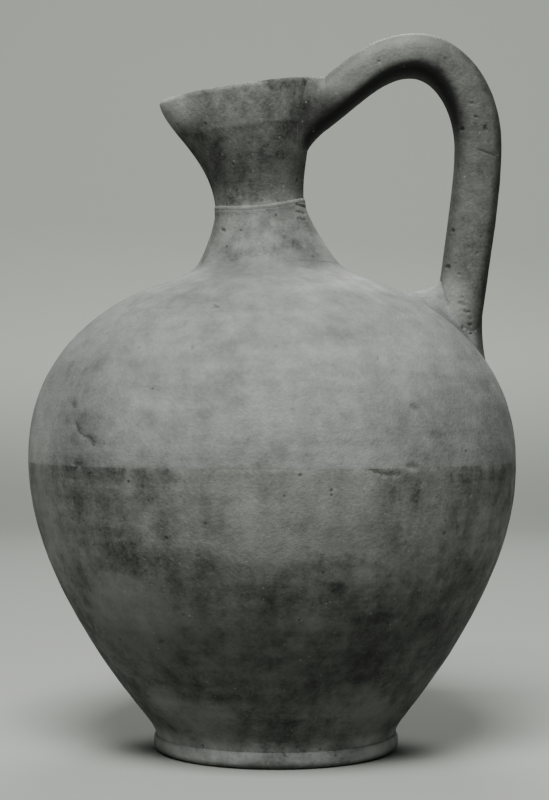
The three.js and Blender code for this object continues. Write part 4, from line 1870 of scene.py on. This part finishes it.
def handle_marks() -> tuple[Mark, ...]:
    """Place the pits of the strap, the short cracks across it and the pits of its foot."""
    return (
        Mark(((49, 327),), 1.1, 0.6, 0.7),
        Mark(((92.5, 307),), 0.9, 0.6, 0.5),
        Mark(((94.5, 300.7),), 1.1, 0.7),
        Mark(((99, 295.7), (99.2, 294.6)), 1.1, 0.7, 0.7),
        Mark(((88.3, 295),), 1.3, 0.7, 0.7),
        Mark(((95.5, 285.2), (97.5, 284.4), (100.5, 283.4), (103.5, 282.4)), 0.6, 0.4, 0.3),
        Mark(((91.3, 239),), 0.8, 0.4, 0.4),
        Mark(((95.3, 236.2),), 0.8, 0.4, 0.4),
        Mark(((86.5, 226.2),), 0.8, 0.4, 0.4),
        Mark(((84, 246.8),), 1.2, 0.5, 0.5),
        Mark(((81.7, 229.6),), 1.4, 0.6, 0.6),
        *root_marks(),
    )


def root_marks() -> tuple[Mark, ...]:
    """Place the pits of the handle's foot, on the side away from the neck."""
    return (
        Mark(((88.4, 200.8),), 1.3, 0.3, 0.7),
        Mark(((92, 202.2),), 1.3, 0.3, 0.7),
        Mark(((87, 212.5), (89, 211.6)), 1.3, 0.3, 0.3),
        Mark(((88, 215.2),), 1.1, 0.3, 0.3),
        Mark(((89, 208.6), (91.5, 208)), 1.0, 0.3, 0.45),
        Mark(((91.8, 205.2),), 1.1, 0.3, 0.45),
        Mark(((92.3, 197.8),), 1.0, 0.3, 0.5),
    )


BELLY_CLOUDS = (
    FireAndLightCloud((-84, -75, 143), (22, 44, 27), 0.6),
    FireAndLightCloud((64, -88, 148), (40, 50, 30), 0.74),
    FireAndLightCloud((98, -50, 140), (22, 60, 24), 0.7),
)
ROOT_CLOUDS_AND_SHADE = (
    FireAndLightCloud((36, -14, 321), (20, 18, 10), 1.6),
    # Darkest under the handle's root, in the recess on the mouth's back: partly soot and partly painted shade.
    FireAndLightCloud((22, -16, 300), (20, 28, 15), 0.2),
)
COLLAR_CLOUDS = (
    FireAndLightCloud((17, -28, 233), (15, 18, 8), 0.72),
    FireAndLightCloud((-14, -32, 229), (10, 14, 5), 0.84),
    FireAndLightCloud((-34, -10, 230), (10, 30, 8), 1.2),
)
# Painted shade on the outer side of the strap's lower part and of its foot, the side away from the light.
HEEL_PAINTED_SHADE = (
    FireAndLightCloud((91, -13, 204), (8, 18, 13), 0.7),
    FireAndLightCloud((101, -8, 216), (9, 26, 32), 0.6),
)
# Painted light on the left of the foot and the flare above it, where the belly's overhang and the floor shade them.
FLARE_PAINTED_LIGHT = FireAndLightCloud((-55, -18, 8), (14, 24, 13), 1.4)
# Painted shade under the handle's crest and the upper pad: surfaces that face down are darkened almost to black.
PAINTED_UNDERSIDE_SHADE = PaintedShade((-0.15, 0, -0.99), 0.04, 0.42, 0.03)


@dataclass(frozen=True)
class Palette:
    """The clay of each member: pale on the shoulder, darker at the mouth and under the belly, partly soot and darker
    clay and partly painted shade of surfaces that face down.
    """

    foot: Clay = Clay(
        "foot_clay",
        # The lowest 2 mm are darker: painted shade where the foot's edge turns down to the floor.
        ((0, 0.1), (2, 0.15), (4, 0.2), (6.5, 0.215), (8, 0.205)),
        (
            # The first two clouds are painted light on the foot's left and right, where the belly's overhang and the
            # floor shade them.
            FireAndLightCloud((-38, -42, 6), (22, 26, 9), 1.3),
            FireAndLightCloud((52, -22, 5), (20, 34, 10), 1.8),
            FireAndLightCloud((4, -60, 3), (12, 14, 8), 0.85),
            FLARE_PAINTED_LIGHT,
        ),
        clouds=1.5, blotches=2.0, soot=0.5, grain=0.8,
    )
    lower: Clay = Clay(
        "lower_clay",
        (
            # Darker into the groove above the foot, a painted shade in the hollow, and down from the belly, partly
            # darker clay and partly painted shade of the surfaces that face down.
            (7.8, 0.2), (10, 0.165), (12.5, 0.11), (15, 0.078), (18, 0.068), (26, 0.076), (42, 0.052), (62, 0.042),
            (82, 0.076), (100, 0.108), (120, 0.106), (134.5, 0.107), (137, 0.122), (139, 0.128),
        ),
        (
            *BELLY_CLOUDS,
            FireAndLightCloud((0, -110, 118), (60, 50, 34), 1.6),
            FireAndLightCloud((-74, -78, 114), (22, 44, 26), 0.63),
            FireAndLightCloud((-104, -40, 116), (12, 40, 34), 1.45),
            FireAndLightCloud((-36, -92, 122), (18, 40, 26), 0.86),
            FireAndLightCloud((-62, -70, 74), (30, 44, 26), 2.1),
            FireAndLightCloud((66, -72, 76), (26, 44, 24), 0.78),
            FireAndLightCloud((-38, -50, 24), (22, 30, 15), 1.6),
            FireAndLightCloud((34, -58, 30), (26, 34, 14), 1.45),
            FireAndLightCloud((46, -40, 21), (16, 26, 14), 1.6),
            FireAndLightCloud((8, -60, 13), (22, 14, 7), 0.8),
            FLARE_PAINTED_LIGHT,
            FireAndLightCloud((45, -36, 12), (12, 20, 8), 1.3),
            FireAndLightCloud((-70, 70, 95), (60, 50, 40), 1.4),
            FireAndLightCloud((80, 70, 60), (60, 50, 40), 0.7),
        ),
        clouds=1.7, blotches=1.9, wiping=1.1, runs=1.5, grain=1.1, soot=0.36, dust=0.45, specks=0.05,
    )
    upper: Clay = Clay(
        "upper_clay",
        (
            (134, 0.132), (137.2, 0.142), (139.5, 0.186), (147, 0.186), (158, 0.176), (172, 0.17), (200, 0.176), (221, 0.17),
            (227, 0.148), (232, 0.136),
        ),
        (
            *BELLY_CLOUDS,
            FireAndLightCloud((-106, -30, 150), (14, 50, 26), 1.25),
            FireAndLightCloud((-92, -60, 176), (22, 50, 24), 0.88),
            FireAndLightCloud((96, -50, 158), (22, 56, 18), 0.88),
            FireAndLightCloud((60, -75, 195), (46, 50, 22), 1.15),
            FireAndLightCloud((-55, -90, 178), (16, 30, 14), 0.92),
            *COLLAR_CLOUDS,
            FireAndLightCloud((60, 90, 160), (60, 50, 40), 0.8),
        ),
        clouds=1.2, blotches=1.0, wiping=0.5, grain=0.45, soot=0.11, dust=0.05, specks=0.02,
    )
    neck: Clay = Clay(
        "neck_clay",
        ((225, 0.146), (235, 0.142), (252, 0.134), (256, 0.142), (261, 0.142)),
        (
            *COLLAR_CLOUDS,
            FireAndLightCloud((11, -24, 241), (7, 14, 7), 0.75),
            FireAndLightCloud((24, -8, 242), (9, 22, 18), 1.6),
            FireAndLightCloud((12, -14, 256), (5, 14, 8), 0.72),
        ),
        clouds=1.6, blotches=1.6, wiping=0.8, grain=0.7, soot=0.2, specks=0.05,
    )
    mouth: Clay = Clay(
        "mouth_clay",
        (
            # The dark band from 262 to 292 mm is partly soot and partly painted shade of the funnel's lower part, which
            # faces down.
            (255, 0.142), (258.5, 0.132), (262.5, 0.09), (267, 0.052), (274, 0.04), (284, 0.051), (292, 0.063),
            (300, 0.086), (309, 0.098), (318, 0.106),
        ),
        (
            *ROOT_CLOUDS_AND_SHADE,
            FireAndLightCloud((-50, -6, 304), (24, 26, 14), 2.5),
            FireAndLightCloud((-32, -16, 282), (11, 22, 16), 0.9),
            FireAndLightCloud((4, -22, 268), (6, 22, 15), 1.45),
            FireAndLightCloud((-17, -18, 269), (13, 22, 12), 0.78),
            FireAndLightCloud((8, -20, 279), (12, 20, 13), 1.25),
        ),
        # Painted shade: surfaces that face down are darkened.
        (PaintedShade((0, 0, -1), 0.1, 0.85, 0.6),),
        clouds=2.2, blotches=3.1, wiping=1.1, runs=0.7, grain=1.3, soot=0.5, dust=0.35, specks=0.06, waver=0.018,
    )
    handle: Clay = Clay(
        "handle_clay",
        ((190, 0.09), (240, 0.081), (262, 0.071), (300, 0.061), (325, 0.062), (342, 0.085)),
        (
            *ROOT_CLOUDS_AND_SHADE,
            *HEEL_PAINTED_SHADE,
            FireAndLightCloud((52, -6, 338), (34, 30, 16), 1.85),
            FireAndLightCloud((82, -13, 212), (12, 18, 18), 2.5),
            FireAndLightCloud((79, -10, 262), (6, 24, 36), 1.5),
        ),
        # Painted shade: the crest's underside and the strap's outer side, facing +X, are darkened.
        (PAINTED_UNDERSIDE_SHADE, PaintedShade((1, 0, 0), 0.3, 0.85, 0.52)),
        clouds=1.0, blotches=1.6, wiping=0.3, runs=0.5, grain=1.1, soot=0.35, dust=0.2, specks=0.05, waver=0.014,
    )
    upper_pad: Clay = Clay(
        "upper_pad_clay",
        ((284, 0.061), (325, 0.062)),
        ROOT_CLOUDS_AND_SHADE,
        (PAINTED_UNDERSIDE_SHADE,),
        clouds=1.9, blotches=2.8, wiping=0.8, runs=0.5, grain=1.2, soot=0.45, dust=0.3, specks=0.06, waver=0.018,
    )
    lower_pad: Clay = Clay(
        "lower_pad_clay",
        ((188, 0.18), (206, 0.19), (225, 0.18)),
        # The dark patch on the outer side and the darkening of surfaces facing +X are painted shade, on the side away
        # from the light.
        (*HEEL_PAINTED_SHADE, FireAndLightCloud((101, -8, 205), (9, 28, 18), 0.5)),
        (PaintedShade((1, 0, 0), 0.2, 0.75, 0.4),),
        clouds=1.2, blotches=1.3, grain=0.7, soot=0.25, dust=0.05, specks=0.04, waver=0.014,
    )


def main() -> None:
    """Build the jug and its studio."""
    stance = Stance(Levels())
    palette = Palette()
    Studio().build()
    marks = body_marks()
    strap = SurfaceRelief(ring_depth=0.0, lump_depth=0.35, pit_spacing=5.0)
    upper = UpperBody(stance, palette.upper, marks=marks)
    mouth = Mouth(stance, palette.mouth, SurfaceRelief(dent_depth=0.5, lump_depth=0.3, pit_spacing=4.5))
    handle = Handle(stance, palette.handle, strap, handle_marks(), mouth=mouth, upper_body=upper)
    members = (
        FootRing(stance, palette.foot, SurfaceRelief(dent_depth=0.4, ring_depth=0.1)),
        LowerBody(stance, palette.lower, marks=marks),
        upper,
        Neck(stance, palette.neck, SurfaceRelief(dent_depth=0.5), neck_marks()),
        mouth,
        handle,
        UpperPad(stance, palette.upper_pad, strap, handle=handle),
        LowerPad(stance, palette.lower_pad, strap, root_marks(), handle=handle),
    )
    for member in members:
        member.dress()


if __name__ == "__main__":
    logging.basicConfig(level=logging.INFO)
    main()
